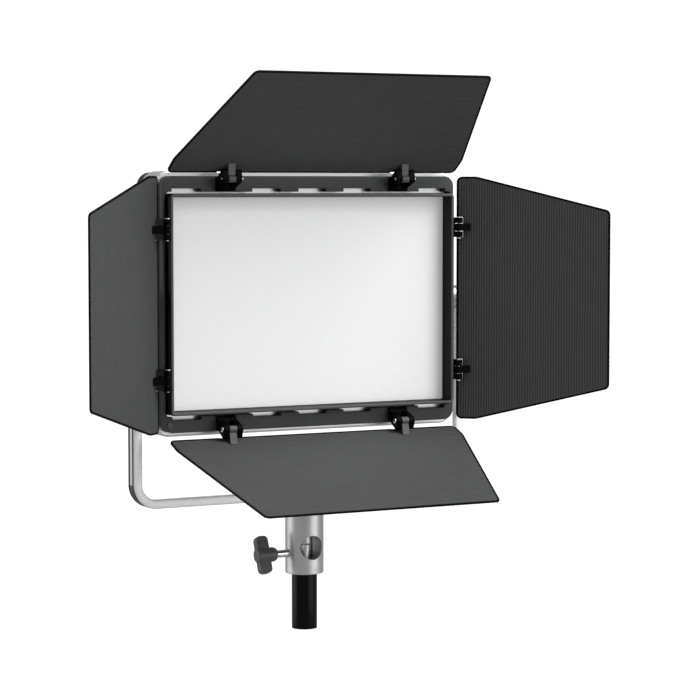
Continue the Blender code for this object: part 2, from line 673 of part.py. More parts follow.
def power_rocker():
    """A switch rocker with round ends about its own pivot, so that it turns within its opening."""
    width, reach = ROCKER_SIZE
    end, dip = 20, 0.0018
    outline = arc(0, 0, reach, -end, end, 3) + [(0, dip)] + arc(0, 0, reach, 180 - end, 180 + end, 3)
    lean = Matrix.Rotation(math.radians(ROCKER_REST), 4, "X")
    # the outline's X runs up the back of the light, and its Y runs out of it
    upright = Matrix(((0, 0, -1, 0), (0, 1, 0, 0), (1, 0, 0, 0), (0, 0, 0, 1)))
    place = Matrix.Translation((ROCKER_X, ROCKER_PIVOT_Y, CONTROL_Z)) @ lean @ upright
    return flat("power_rocker", [outline], width, place, "black_plastic")


# ---- Barn doors ---------------------------------------------------------------------------------
LOCK_SPOT = (-PLATE_HALF[0] + 0.0064, PLATE_FRONT, PIVOT_Z - PLATE_HALF[1] + 0.0079)


def barn_door_frame():
    back = HOUSING_FRONT - GAP
    loops = [rectangle(*PLATE_HALF, PLATE_CORNER, steps=6), rectangle(*PLATE_WINDOW, PLATE_CORNER / 2)]
    made = panel("barn_door_frame", loops, PLATE_FRONT, back, "dark_grey")
    size = (NOTCH_LENGTH, 0.03, 2 * NOTCH_DEPTH)
    edges = [(x, PLATE_FRONT, side * PLATE_WINDOW[1]) for side in (-1, 1) for x in NOTCH_CENTRES]
    place = Matrix.Translation(LOCK_SPOT) @ FRONT
    cut(
        made,
        bars("cut_notches", [(edge, size) for edge in edges], CENTRE),
        rod("cut_lock_way", 0.0021, -THROUGH, THROUGH, place, steps=16),
    )
    return made


def frame_lock_screw():
    """The screw at a corner that locks the barn doors' frame on the light."""
    crown, head, shank, height, rim, end = 0.0022, 0.003, 0.0018, 0.0015, 0.0009, -0.0095
    profile = [(0, height), (crown, height), (head, rim), (head, GAP), (shank, GAP)]
    profile += [(shank, end), (0, end)]
    return turned("frame_lock_screw", profile, Matrix.Translation(LOCK_SPOT) @ FRONT, "steel", 16)


def side_frame(turn):
    """The panel's centre, turned so that its own Z points out to one side."""
    return CENTRE @ Matrix.Rotation(math.radians(turn), 4, "Y")


def across(frame, x):
    """The place of an outline of depth (its X) and distance out (its Y), as thick as it is along the pin."""
    return frame @ Matrix(((0, 0, 1, x), (1, 0, 0, 0), (0, 1, 0, 0), (0, 0, 0, 1)))


def rail_bracket_outline(pin_y, pin_out):
    """A top or bottom bracket: a foot flat on the frame's rail, and the ears in front of it."""
    front, nose = PLATE_FRONT - GAP, arc(pin_y, pin_out, EAR_RADIUS, 165, 240, 3)
    crest = [(pin_y + 0.001, pin_out + EAR_PEAK), (pin_y - 0.002, pin_out + EAR_PEAK - 0.001)]
    foot_in, foot_out, thick = PLATE_WINDOW[1] + 0.0002, PLATE_HALF[1] - 0.001, 0.004
    foot = [(front, foot_in), (front, foot_out), (front - thick, foot_out)]
    heel, toe = 0.0005, 0.0015  # the foot's underside slants between these, past and short of its thickness
    return foot + crest + nose + [(front - thick - heel, foot_in + thick), (front - thick + toe, foot_in)]


def edge_bracket_outline(pin_y, pin_out):
    """A side bracket: a lip round the frame's outer edge, and the ears in front of it."""
    front, nose = PLATE_FRONT - GAP, arc(pin_y, pin_out, EAR_RADIUS, 60, 240, 6)
    edge, back, lip, shoulder = PLATE_HALF[0] + GAP, HOUSING_FRONT - 0.001, 0.0033, 0.004
    overlap, inner, chamfer = 0.0025, 0.0042, 0.001
    outline = [(front, edge - overlap), (front, edge), (back, edge), (back, edge + lip)]
    outline.append((front - shoulder, edge + lip))
    return outline + nose + [(front - shoulder, edge - inner), (front - chamfer, edge - inner)]


def bracket(name, frame, x, pin_y, pin_out, wide_rail):
    """A hinge bracket: two ears round a slot for the leaf's tab."""
    outline = rail_bracket_outline(pin_y, pin_out) if wide_rail else edge_bracket_outline(pin_y, pin_out)
    made = flat(name, [outline], BRACKET_WIDTH, across(frame, x), "black_plastic")
    deep, tall, web = 0.04, 0.03, 0.0045  # the slot's own size, and what it leaves in front of the plate
    lip, shallow = 0.0025, 0.0035  # a side bracket's slot leaves its lip, and runs further in at its front
    if wide_rail:
        slots = [(PLATE_FRONT - web - deep / 2, pin_out + 0.003)]
    else:
        slots = [(PLATE_FRONT + lip - deep / 2, PLATE_HALF[0] + tall / 2)]
        slots.append((PLATE_FRONT - shallow - deep / 2, PLATE_HALF[0] - 0.005 + tall / 2))
    for i, (y, out) in enumerate(slots):
        cut(made, bars(f"cut_{name}_slot_{i}", [((x, y, out), (SLOT_WIDTH, deep, tall))], frame))
    pin_way = frame @ Matrix.Translation((x, pin_y, pin_out)) @ ALONG_X
    cut(made, rod(f"cut_{name}_pin", PIN_HOLE, -BRACKET_WIDTH, BRACKET_WIDTH, pin_way, steps=12))
    return made


def hinge_pin(name, frame, x, pin_y, pin_out):
    """A headed pin across the bracket's ears."""
    head, height, edge, proud, seat = 0.0026, 0.0012, 0.0006, 0.0006, BRACKET_WIDTH / 2 + GAP
    profile = [(0, seat + height), (head - edge, seat + height), (head, seat + height - edge)]
    profile += [(head, seat), (PIN_RADIUS, seat), (PIN_RADIUS, -seat - proud), (0, -seat - proud)]
    place = frame @ Matrix.Translation((x, pin_y, pin_out)) @ ALONG_X
    return turned(name, profile, place, "steel", 12)


def leaf_tab(name, hinge, x):
    """The knuckle round the pin and the slanting strip down to a pad on the leaf, in the leaf's frame."""
    knuckle, pad, pad_start, web_start, web_end = 0.0038, 0.0014, -0.003, 0.0049, 0.0098
    face = -LEAF_OFFSET + GAP  # the pad lies on the leaf's inner face
    outline = arc(0, 0, knuckle, -30, 280, 10)
    outline += [(web_start, face + pad), (pad_start, face + pad), (pad_start, face), (web_end, face)]
    made = flat(name, [outline], TAB_WIDTH, across(hinge, x), "leaf_grey")
    pin_way = hinge @ Matrix.Translation((x, 0, 0)) @ ALONG_X
    cut(made, rod(f"cut_{name}_bore", PIN_HOLE, -TAB_WIDTH, TAB_WIDTH, pin_way, steps=12))
    return made


def leaf(name, hinge, size, hinges):
    """A tapering sheet with a hem round its outer face and a cut-out at each hinge."""
    half, taper, edge, deep = size
    start, straight, end = -edge, LEAF_STRAIGHT, LEAF_END
    shoulder, past = 0.02, 0.01
    corners = [(-half, start), (half, start), (half, straight), (half - taper, end)]
    corners += [(-half + taper, end), (-half, straight)]
    radii = [LEAF_CORNER, LEAF_CORNER, shoulder, LEAF_CORNER, LEAF_CORNER, shoulder]
    middle = Matrix.Translation((0, 0, -LEAF_OFFSET - LEAF_THICK / 2))
    made = flat(name, [rounded(corners, radii, 3)], LEAF_THICK, hinge @ middle, "leaf_grey")
    notch = (NOTCH_WIDTH, deep - start + past, past)
    for i, x in enumerate(hinges):
        place = (x, deep - notch[1] / 2, 0)
        cut(made, bars(f"cut_{name}_notch_{i}", [(place, notch)], hinge @ middle))

    side, low, high = half - HEM_WIDTH, 0.006, end - HEM_WIDTH
    inset = [(-side, low), (side, low), (side, straight), (side - taper, high)]
    inset += [(-side + taper, high), (-side, straight)]
    outer_face = hinge @ Matrix.Translation((0, 0, -LEAF_OFFSET - LEAF_THICK))
    recess = rounded(inset, LEAF_CORNER / 2, 2)
    cut(made, flat(f"cut_{name}_recess", [recess], 2 * HEM_PROUD, outer_face))
    return made


def barn_door(side):
    """One side's brackets and pins on the frame, and its leaf with two tabs on the hinge axis."""
    turn, pin_y, pin_out, opening, hinges = SIDES[side]
    frame = side_frame(turn)
    # the leaf's own X is the pin, Y points away from the hinge and -Z is towards its outer face
    swing = Matrix.Rotation(-math.radians(90 + opening), 4, "X")
    hinge = frame @ Matrix.Translation((0, pin_y, pin_out)) @ swing
    wide_rail = side in ("top", "bottom")
    fixed, moving = [], [leaf(f"leaf_{side}", hinge, LEAVES[side], hinges.values())]
    for place, x in hinges.items():
        fixed.append(bracket(f"hinge_bracket_{side}_{place}", frame, x, pin_y, pin_out, wide_rail))
        fixed.append(hinge_pin(f"hinge_pin_{side}_{place}", frame, x, pin_y, pin_out))
        moving.append(leaf_tab(f"leaf_tab_{side}_{place}", hinge, x))
    return hinge, fixed, moving


# ---- Assembly -----------------------------------------------------------------------------------
def build():
    global parts, cutters
    clear_scene()
    parts, cutters = make_collection("led_panel_light"), make_collection("cutters")

    stand()
    pan = pivot("pan_axis", Matrix.Translation((0, 0, RECEIVER_BOTTOM)))
    ride(pan, receiver(), yoke(), yoke_bolt())

    clamp_axis = pivot("clamp_axis", Matrix.Translation((-RECEIVER_RADIUS, 0, CLAMP_Z)))
    ride(pan, clamp_axis)
    ride(clamp_axis, *clamp())

    tilt = pivot("tilt_axis", PIVOT)
    ride(pan, tilt)
    for side in (-1, 1):
        disc, ring, knob, bolt = tilt_lock(side)
        knob_axis = pivot(f"{knob.name}_axis", Matrix.Translation((side * YOKE_HALF, PIVOT_Y, PIVOT_Z)))
        ride(pan, knob_axis)
        ride(knob_axis, ring, knob, bolt)
        ride(tilt, disc)

    ride(tilt, housing_frame(), front_bezel(), *light_engine(), heat_sink(), driver_board(), rear_cover())
    ride(tilt, display_window(), dc_inlet(), barn_door_frame(), frame_lock_screw())
    ride(tilt, dial("brightness_knob", DIAL_X), dial("colour_knob", -DIAL_X), mode_button(), power_rocker())
    for side in SIDES:
        hinge, fixed, moving = barn_door(side)
        axis = pivot(f"leaf_{side}_axis", hinge)
        ride(tilt, axis, *fixed)
        ride(axis, *moving)


build()
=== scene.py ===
"""Looks for the LED panel light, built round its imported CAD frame.

Metres, +Z up, in the CAD's own frame: the origin is the centre of the stand tube's bottom end,
the light faces -Y, and +X is on the viewer's right.
"""

import math

import bmesh
import bpy
from mathutils import Matrix, Vector


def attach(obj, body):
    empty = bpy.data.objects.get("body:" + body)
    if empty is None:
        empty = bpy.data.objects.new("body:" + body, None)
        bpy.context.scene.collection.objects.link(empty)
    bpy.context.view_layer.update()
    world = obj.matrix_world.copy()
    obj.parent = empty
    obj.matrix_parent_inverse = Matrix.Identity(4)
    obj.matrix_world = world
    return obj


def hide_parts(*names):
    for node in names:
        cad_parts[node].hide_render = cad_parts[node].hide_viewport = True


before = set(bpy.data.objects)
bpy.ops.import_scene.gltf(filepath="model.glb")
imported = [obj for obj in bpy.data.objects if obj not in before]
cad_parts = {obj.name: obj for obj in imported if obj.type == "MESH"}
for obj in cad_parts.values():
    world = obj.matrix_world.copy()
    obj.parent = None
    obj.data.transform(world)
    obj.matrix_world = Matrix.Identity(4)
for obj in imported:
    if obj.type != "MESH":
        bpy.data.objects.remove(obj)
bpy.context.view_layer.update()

# ---- Sizes, as in the CAD -----------------------------------------------------------------------
GAP = 0.0003
PIVOT_Z = 0.3318
PIVOT_Y = 0.0073

STAND_RADIUS = 0.0129
STAND_TOP = 0.0561
SOCKET_DEPTH = 0.036
SPIGOT_RADIUS = 0.008
SPIGOT_TOP = 0.120
SPIGOT_WAIST = 0.0072
RECEIVER_RADIUS = 0.0195
RECEIVER_BOTTOM = STAND_TOP + GAP
RECEIVER_BORE = SPIGOT_RADIUS + GAP
HEADROOM = 0.0012
WINDOW_RADIUS = 0.0122
WINDOW_Z = 0.0838
WINDOW_BACK = -0.003
CLAMP_Z = 0.0772
WING_REACH = 0.019
WING_LEAN = 21.0

YOKE_HALF = 0.1855
YOKE_BOTTOM = 0.1310
YOKE_BAR = 0.0089
YOKE_DEPTH = 0.0156
YOKE_INNER = 0.0070
YOKE_SLANT = 0.0047
YOKE_CHANNELS = ((-0.0070, -0.0030), (0.0024, 0.0066))
YOKE_BEND = 0.024
YOKE_ABOVE_PIVOT = 0.012
BOLT_RADIUS = 0.004
BOLT_HOLE = BOLT_RADIUS + GAP
YOKE_BOLT_END = 0.1245
YOKE_BOLT_HEAD = 0.0065
YOKE_BOLT_SEAT = YOKE_BOTTOM + 0.0040

HOUSING_HALF = (0.167, 0.12965)
HOUSING_CORNER = 0.015
HOUSING_FRONT = -0.0087
HOUSING_BACK = 0.022
HOUSING_WALL = 0.003
COVER_BACK = 0.038
COVER_INSET = 0.001
COVER_WALL = 0.0025

RIM_HALF = (0.1575, 0.1075)
RIM_WALL = 0.0029
RIM_CORNER = 0.004
RIM_FRONT = -0.0287
DIFFUSER_FRONT = -0.0109
DIFFUSER_THICK = 0.0025
LED_PITCH = (0.0220, 0.02084)

PLATE_HALF = (0.162, 0.125)
PLATE_CORNER = 0.010
PLATE_WINDOW = (0.1593, 0.1095)
PLATE_FRONT = -0.019
NOTCH_CENTRES = (-0.1367, -0.0505, 0.0, 0.0505, 0.1367)
NOTCH_LENGTH = 0.031
NOTCH_DEPTH = 0.0033
LOCK_SPOT = (-PLATE_HALF[0] + 0.0064, PLATE_FRONT, PIVOT_Z - PLATE_HALF[1] + 0.0079)

LEAF_END = 0.15465
LEAF_STRAIGHT = 0.01565
LEAF_THICK = 0.0015
LEAF_CORNER = 0.006
LEAF_OFFSET = 0.0115
NOTCH_WIDTH = 0.0208
LEAF_TRIM = 0.0019  # width of the edging round a leaf, coloured near-black as painted shade of the groove between its lip and its field
RIB_PITCH = 0.0027
RIB_DEPTH = 0.0003

PIN_RADIUS = 0.0015
PIN_HOLE = PIN_RADIUS + GAP
EAR_RADIUS = 0.0042
EAR_PEAK = 0.0090
BRACKET_WIDTH = 0.020
SLOT_WIDTH = 0.0084
TAB_WIDTH = 0.0074

CONTROL_Z = PIVOT_Z - 0.062
ROCKER_X = 0.1
DIAL_X = 0.052
INLET_X = -0.1
BUTTON_Z = CONTROL_Z - 0.026
DISPLAY = (0.056, 0.0016, 0.026)
ROCKER_SIZE = (0.013, 0.0104)
ROCKER_PIVOT_Y = COVER_BACK - 0.001
ROCKER_REST = 8.0
SHAFT_RADIUS = 0.003
BUTTON_RADIUS = 0.0047
INLET_RADIUS = 0.006

# side: (turn about the panel's front axis, pin depth, pin distance out, opening, hinges)
SIDES = {
    "top": (0, -0.03485, 0.1222, 125.0, {"left": -0.096, "right": 0.096}),
    "bottom": (180, -0.03485, 0.1222, 111.7, {"right": -0.096, "left": 0.096}),
    "left": (-90, -0.0302, 0.162, 135.8, {"lower": -0.073, "upper": 0.073}),
    "right": (90, -0.0302, 0.162, 135.8, {"upper": -0.073, "lower": 0.073}),
}

# side: (half the leaf's width, how far each side draws in, hinge pin back to the hinged edge,
#        hinge pin to the end of the cut-out at each hinge)
LEAVES = {
    "top": (0.1596, 0.0334, 0.0062, -0.0044),
    "bottom": (0.1596, 0.0334, 0.0050, -0.0044),
    "left": (0.1248, 0.0346, 0.0053, 0.0015),
    "right": (0.1248, 0.0346, 0.0053, 0.0015),
}

FRONT = Matrix.Rotation(math.pi / 2, 4, "X")
ALONG_X = Matrix.Rotation(math.pi / 2, 4, "Y")
ALONG_MINUS_X = Matrix.Rotation(-math.pi / 2, 4, "Y")
ALONG_Y = Matrix.Rotation(-math.pi / 2, 4, "X")
CENTRE = Matrix.Translation((0, 0, PIVOT_Z))
PIVOT = Matrix.Translation((0, PIVOT_Y, PIVOT_Z))
YOKE_PLANE = Matrix.Translation((0, PIVOT_Y, 0))

WELD = 1e-6
SHARP = math.radians(32)
THROUGH = 0.02
ROUND = 96  # steps round a turned piece
BLUNT = 0.3  # how far in an edge's middle point lies, as a share of the edge's width


# ---- Materials ----------------------------------------------------------------------------------
materials = {}


def node(tree, kind, **settings):
    made = tree.nodes.new(kind)
    for name, value in settings.items():
        setattr(made, name, value)
    return made


def noise(tree, coordinates, scale, detail=4.0, roughness=0.5):
    made = node(tree, "ShaderNodeTexNoise")
    made.inputs["Scale"].default_value = scale
    made.inputs["Detail"].default_value = detail
    made.inputs["Roughness"].default_value = roughness
    tree.links.new(coordinates, made.inputs["Vector"])
    return made.outputs["Fac"]


def spread(tree, value, low, high):
    """Maps a noise's middle range to low..high."""
    made = node(tree, "ShaderNodeMapRange")
    made.inputs["From Min"].default_value = 0.3
    made.inputs["From Max"].default_value = 0.7
    made.inputs["To Min"].default_value = low
    made.inputs["To Max"].default_value = high
    tree.links.new(value, made.inputs["Value"])
    return made.outputs["Result"]


def shades(tree, value, dark, light):
    ramp = node(tree, "ShaderNodeValToRGB")
    ramp.color_ramp.elements[0].position = 0.3
    ramp.color_ramp.elements[0].color = (*dark, 1)
    ramp.color_ramp.elements[1].position = 0.7
    ramp.color_ramp.elements[1].color = (*light, 1)
    tree.links.new(value, ramp.inputs["Fac"])
    return ramp.outputs["Color"]


def coordinates_of(tree, stretch=(1, 1, 1)):
    source = node(tree, "ShaderNodeTexCoord").outputs["Object"]
    mapping = node(tree, "ShaderNodeMapping")
    mapping.inputs["Scale"].default_value = stretch
    tree.links.new(source, mapping.inputs["Vector"])
    return mapping.outputs["Vector"]


def finish(name, colour, roughness, metallic=0.0, vary=0.08, mottle=60, grain=900, bump=0.1,
           height=0.00005, stretch=(1, 1, 1), coat=0.0, rough_vary=0.05, shine=0.5):
    """A surface whose colour and gloss vary a little, with a fine grain in its relief."""
    made = bpy.data.materials.new(name)
    made.use_nodes = True
    tree = made.node_tree
    shader = tree.nodes["Principled BSDF"]
    place = coordinates_of(tree, stretch)
    cloud = noise(tree, place, mottle)
    dark = [c * (1 - vary) for c in colour]
    light = [c * (1 + vary) for c in colour]
    tree.links.new(shades(tree, cloud, dark, light), shader.inputs["Base Color"])
    fine = noise(tree, place, grain, 2.0)
    gloss = spread(tree, fine, roughness - rough_vary, roughness + rough_vary)
    tree.links.new(gloss, shader.inputs["Roughness"])
    relief = node(tree, "ShaderNodeBump")
    relief.inputs["Strength"].default_value = bump
    relief.inputs["Distance"].default_value = height
    tree.links.new(fine, relief.inputs["Height"])
    tree.links.new(relief.outputs["Normal"], shader.inputs["Normal"])
    shader.inputs["Metallic"].default_value = metallic
    shader.inputs["Specular IOR Level"].default_value = shine
    shader.inputs["Coat Weight"].default_value = coat
    shader.inputs["Coat Roughness"].default_value = 0.2
    materials[name] = made
    return made


def make_materials():
    finish("silver_paint", (0.76, 0.765, 0.77), 0.34, 0.75, vary=0.03, grain=1500, bump=0.05)
    finish("yoke_silver", (0.90, 0.902, 0.908), 0.36, 0.65, vary=0.03, grain=1500, bump=0.05)
    # painted shade for the floors and walls of the yoke's channels
    finish("groove_painted_shade", (0.13, 0.13, 0.135), 0.5, 0.5)
    finish("satin_aluminium", (0.66, 0.66, 0.665), 0.38, 0.9, vary=0.04, grain=700, bump=0.06,
           stretch=(0.35, 0.35, 3.0))
    finish("bright_steel", (0.92, 0.92, 0.93), 0.16, 1.0, vary=0.02, grain=1200, bump=0.02)
    finish("spigot_steel", (0.58, 0.58, 0.59), 0.3, 1.0, vary=0.03, grain=1200, bump=0.02)
    finish("brass", (0.70, 0.52, 0.25), 0.3, 1.0, vary=0.05)
    finish("stand_black", (0.0008, 0.0008, 0.0008), 0.2, 0.0, vary=0.2, grain=1200, bump=0.03,
           shine=0.15)
    finish("frame_grey", (0.058, 0.059, 0.061), 0.5, 0.0, vary=0.06, grain=1800, bump=0.15, shine=0.25)
    finish("leaf_grey", (0.070, 0.071, 0.073), 0.55, 0.0, vary=0.05, grain=1600, bump=0.12, shine=0.25)
    # near-black painted shade, for the leaves' edging and the side hinges' tabs
    finish("leaf_edge_shade", (0.003, 0.003, 0.003), 0.45, 0.0, vary=0.2, shine=0.04)
    finish("tab_grey", (0.085, 0.086, 0.09), 0.45, 0.0, vary=0.06, grain=1400)
    finish("hinge_black", (0.003, 0.003, 0.003), 0.42, 0.0, vary=0.2, grain=1400, shine=0.04)
    finish("knob_grey", (0.112, 0.113, 0.116), 0.42, 0.0, vary=0.08, grain=1200, bump=0.1)
    finish("knob_black", (0.012, 0.012, 0.013), 0.45, 0.0, vary=0.15, grain=1200, bump=0.15)
    finish("cover_black", (0.018, 0.018, 0.019), 0.5, 0.0, vary=0.12, grain=1500, bump=0.3)
    # near-black painted shade for the bezel's walls and flange, behind its grey front edge
    finish("bezel_wall_shade", (0.003, 0.003, 0.003), 0.45, 0.0, vary=0.2, grain=1400, shine=0.15)
    finish("bezel_grey", (0.068, 0.069, 0.072), 0.42, 0.0, vary=0.05, grain=1400)
    finish("reflector_white", (0.80, 0.80, 0.79), 0.6, 0.0, vary=0.02)
    finish("sink_aluminium", (0.50, 0.50, 0.51), 0.4, 1.0, vary=0.05, stretch=(1, 1, 6))
    finish("circuit_green", (0.02, 0.11, 0.05), 0.4, 0.0, vary=0.5, mottle=260)
    finish("mark_white", (0.75, 0.75, 0.74), 0.5, 0.0, vary=0.03)
    finish("display_glass", (0.010, 0.013, 0.016), 0.08, 0.0, vary=0.1, bump=0.0, coat=0.6,
           rough_vary=0.02)
    opal_material()


def dot_rows(tree, coordinate, pitch, shift):
    """How far a coordinate is from the nearest row, from 0 to 0.5 of the rows' pitch."""
    scaled = node(tree, "ShaderNodeMath", operation="MULTIPLY_ADD")
    scaled.inputs[1].default_value = 1 / pitch
    scaled.inputs[2].default_value = shift
    tree.links.new(coordinate, scaled.inputs[0])
    wrapped = node(tree, "ShaderNodeMath", operation="PINGPONG")
    wrapped.inputs[1].default_value = 0.5
    tree.links.new(scaled.outputs[0], wrapped.inputs[0])
    return wrapped.outputs[0]


def dots(tree, split, shift):
    """1 at each LED behind the diffuser, falling to 0 between them."""
    sideways = dot_rows(tree, split.outputs["X"], LED_PITCH[0], shift)
    up = dot_rows(tree, split.outputs["Z"], LED_PITCH[1], shift)
    both = node(tree, "ShaderNodeCombineXYZ")
    tree.links.new(sideways, both.inputs["X"])
    tree.links.new(up, both.inputs["Y"])
    length = node(tree, "ShaderNodeVectorMath", operation="LENGTH")
    tree.links.new(both.outputs["Vector"], length.inputs[0])
    near = node(tree, "ShaderNodeMapRange", interpolation_type="SMOOTHSTEP")
    near.inputs["From Min"].default_value = 0.0
    near.inputs["From Max"].default_value = 0.3
    near.inputs["To Min"].default_value = 1.0
    near.inputs["To Max"].default_value = 0.0
    tree.links.new(length.outputs["Value"], near.inputs["Value"])
    return near.outputs["Result"]


def opal_material():
    """Milky acrylic, with the LEDs behind it just showing as paler spots, and a faint glow that is painted
    light.
    """
    made = bpy.data.materials.new("opal")
    made.use_nodes = True
    tree = made.node_tree
    shader = tree.nodes["Principled BSDF"]
    place = coordinates_of(tree)
    split = node(tree, "ShaderNodeSeparateXYZ")
    tree.links.new(place, split.inputs["Vector"])
    total = node(tree, "ShaderNodeMath", operation="MAXIMUM")
    tree.links.new(dots(tree, split, 0.5), total.inputs[0])
    tree.links.new(dots(tree, split, 0.0), total.inputs[1])
    ramp = node(tree, "ShaderNodeValToRGB")
    ramp.color_ramp.elements[0].color = (0.83, 0.833, 0.838, 1)
    ramp.color_ramp.elements[1].color = (0.865, 0.868, 0.872, 1)
    tree.links.new(total.outputs[0], ramp.inputs["Fac"])
    tree.links.new(ramp.outputs["Color"], shader.inputs["Base Color"])
    fine = noise(tree, place, 1500, 2.0)
    tree.links.new(spread(tree, fine, 0.42, 0.5), shader.inputs["Roughness"])
    # painted light: a faint glow that brightens the unlit diffuser
    shader.inputs["Emission Color"].default_value = (1, 1, 1, 1)
    shader.inputs["Emission Strength"].default_value = 0.17
    shader.inputs["Subsurface Weight"].default_value = 0.1
    shader.inputs["Subsurface Radius"].default_value = (0.004, 0.004, 0.004)
    shader.inputs["Subsurface Scale"].default_value = 1.0
    materials["opal"] = made


# ---- Outlines -----------------------------------------------------------------------------------
def rounded(corners, radius, steps=8):
    """The closed outline through corners, each turned into an arc of the radius (one, or a list)."""
    radii = radius if isinstance(radius, (list, tuple)) else [radius] * len(corners)
    points = []
    for i, corner in enumerate(corners):
        here = Vector(corner)
        back = (Vector(corners[i - 1]) - here).normalized()
        on = (Vector(corners[(i + 1) % len(corners)]) - here).normalized()
        if radii[i] == 0:
            points.append(here)
            continue
        half = back.angle(on) / 2
        start = back * (radii[i] / math.tan(half))
        middle = (back + on).normalized() * (radii[i] / math.sin(half))
        arm = start - middle
        turn = math.pi - 2 * half
        if back.x * on.y - back.y * on.x > 0:
            turn = -turn
        for step in range(steps + 1):
            angle = turn * step / steps
            c, s = math.cos(angle), math.sin(angle)
            points.append(here + middle + Vector((c * arm.x - s * arm.y, s * arm.x + c * arm.y)))
    return points


def rectangle(half_x, half_y, radius=0.0, y=0.0, steps=8):
    corners = [(-half_x, y - half_y), (half_x, y - half_y), (half_x, y + half_y), (-half_x, y + half_y)]
    return rounded(corners, radius, steps)


def arc(x, y, radius, start, end, steps):
    angles = [math.radians(start + (end - start) * i / steps) for i in range(steps + 1)]
    return [(x + radius * math.cos(a), y + radius * math.sin(a)) for a in angles]


def grown(half, by):
    return half[0] + by, half[1] + by


# ---- Shapes -------------------------------------------------------------------------------------
def add_object(name, shape, matrix=Matrix()):
    """An object made from the bmesh, which is used up."""
    bmesh.ops.remove_doubles(shape, verts=shape.verts, dist=WELD)
    bmesh.ops.recalc_face_normals(shape, faces=shape.faces)
    mesh = bpy.data.meshes.new(name)
    shape.to_mesh(mesh)
    shape.free()
    made = bpy.data.objects.new(name, mesh)
    made.matrix_world = matrix
    bpy.context.scene.collection.objects.link(made)
    shade(made)
    return made


def shade(piece):
    piece.data.shade_smooth()
    piece.data.set_sharp_from_angle(angle=SHARP)


def apply(piece):
    """Makes the piece's modifiers part of its mesh."""
    bpy.context.view_layer.update()
    graph = bpy.context.evaluated_depsgraph_get()
    mesh = bpy.data.meshes.new_from_object(piece.evaluated_get(graph), depsgraph=graph)
    mesh.name = piece.name
    piece.modifiers.clear()
    piece.data = mesh
    return piece


def combine(piece, tools, operation):
    for tool in tools:
        change = piece.modifiers.new("Boolean", "BOOLEAN")
        change.operation = operation
        change.object = tool
        change.solver = "EXACT"
    apply(piece)
    for tool in tools:
        bpy.data.objects.remove(tool, do_unlink=True)
    shade(piece)
    return piece


def cut(piece, *tools):
    return combine(piece, tools, "DIFFERENCE")


def unite(piece, *tools):
    return combine(piece, tools, "UNION")


def soften(piece, width, segments=3, angle=32):
    """Rounds the piece's edges, so that they catch the light."""
    change = piece.modifiers.new("Bevel", "BEVEL")
    change.width = width
    change.segments = segments
    change.limit_method = "ANGLE"
    change.angle_limit = math.radians(angle)
    apply(piece)
    shade(piece)
    weigh = piece.modifiers.new("Normals", "WEIGHTED_NORMAL")
    weigh.keep_sharp = True
    return piece


def flat(name, loops, thickness, matrix):
    """A sheet of the filled outlines (later ones are holes), centred on its own XY plane."""
    curve = bpy.data.curves.new(name, "CURVE")
    curve.dimensions = "2D"
    curve.fill_mode = "BOTH"
    curve.extrude = thickness / 2
    for loop in loops:
        spline = curve.splines.new("POLY")
        spline.points.add(len(loop) - 1)
        for point, place in zip(spline.points, loop):
            point.co = (place[0], place[1], 0, 1)
        spline.use_cyclic_u = True
    guide = bpy.data.objects.new(name, curve)
    bpy.context.scene.collection.objects.link(guide)
    graph = bpy.context.evaluated_depsgraph_get()
    mesh = bpy.data.meshes.new_from_object(guide.evaluated_get(graph))
    bpy.data.objects.remove(guide, do_unlink=True)
    shape = bmesh.new()
    shape.from_mesh(mesh)
    bpy.data.meshes.remove(mesh)
    return add_object(name, shape, matrix)


def box(name, centre, size, matrix=Matrix()):
    shape = bmesh.new()
    place = Matrix.Translation(centre) @ Matrix.Diagonal((*size, 1))
    bmesh.ops.create_cube(shape, size=1, matrix=place)
    return add_object(name, shape, matrix)


def loft(name, loops, matrix=Matrix(), closed=False):
    """A skin over loops of equal length: joined end to end if closed, otherwise with flat ends."""
    shape = bmesh.new()
    rows = [[shape.verts.new(p) for p in loop] for loop in loops]
    count = len(rows[0])
    pairs = list(zip(rows, rows[1:]))
    if closed:
        pairs.append((rows[-1], rows[0]))
    for a, b in pairs:
        for i in range(count):
            j = (i + 1) % count
            shape.faces.new((a[i], a[j], b[j], b[i]))
    if not closed:
        shape.faces.new(rows[0])
        shape.faces.new(list(reversed(rows[-1])))
    return add_object(name, shape, matrix)


def hoops(stations, steps=12):
    """Rounded rectangles facing forward, one for each (half sizes, corner radius, depth)."""
    loops, least_corner = [], 0.0002
    for half, corner, y in stations:
        outline = rectangle(*half, max(corner, least_corner), steps=steps)
        loops.append([(x, y, PIVOT_Z + z) for x, z in outline])
    return loops


def offsets(half, corner, profile):
    """Stations round one rounded rectangle, for a profile of (distance out, depth)."""
    return [(grown(half, out), corner + out, y) for out, y in profile]


def turned(name, profile, matrix=Matrix(), closed=False, steps=ROUND, wave=None):
    """A profile of (radius, height) turned about its own Z. wave(angle, i) scales a point's radius."""
    loops = []
    for i, (r, z) in enumerate(profile):
        loop = []
        for step in range(steps):
            angle = 2 * math.pi * step / steps
            reach = r * (wave(angle, i) if wave else 1)
            loop.append((reach * math.cos(angle), reach * math.sin(angle), z))
        loops.append(loop)
    shape = bmesh.new()
    rows = []
    for (r, z), loop in zip(profile, loops):
        rows.append([shape.verts.new((0, 0, z))] * steps if r == 0 else [shape.verts.new(p) for p in loop])
    pairs = list(zip(rows, rows[1:]))
    if closed:
        pairs.append((rows[-1], rows[0]))
    for a, b in pairs:
        for i in range(steps):
            j = (i + 1) % steps
            corners = []
            for vert in (a[i], a[j], b[j], b[i]):
                if vert not in corners:
                    corners.append(vert)
            if len(corners) > 2:
                shape.faces.new(corners)
    return add_object(name, shape, matrix)


def rod(name, radius, low, high, matrix=Matrix(), steps=48):
    return turned(name, [(0, high), (radius, high), (radius, low), (0, low)], matrix, steps=steps)


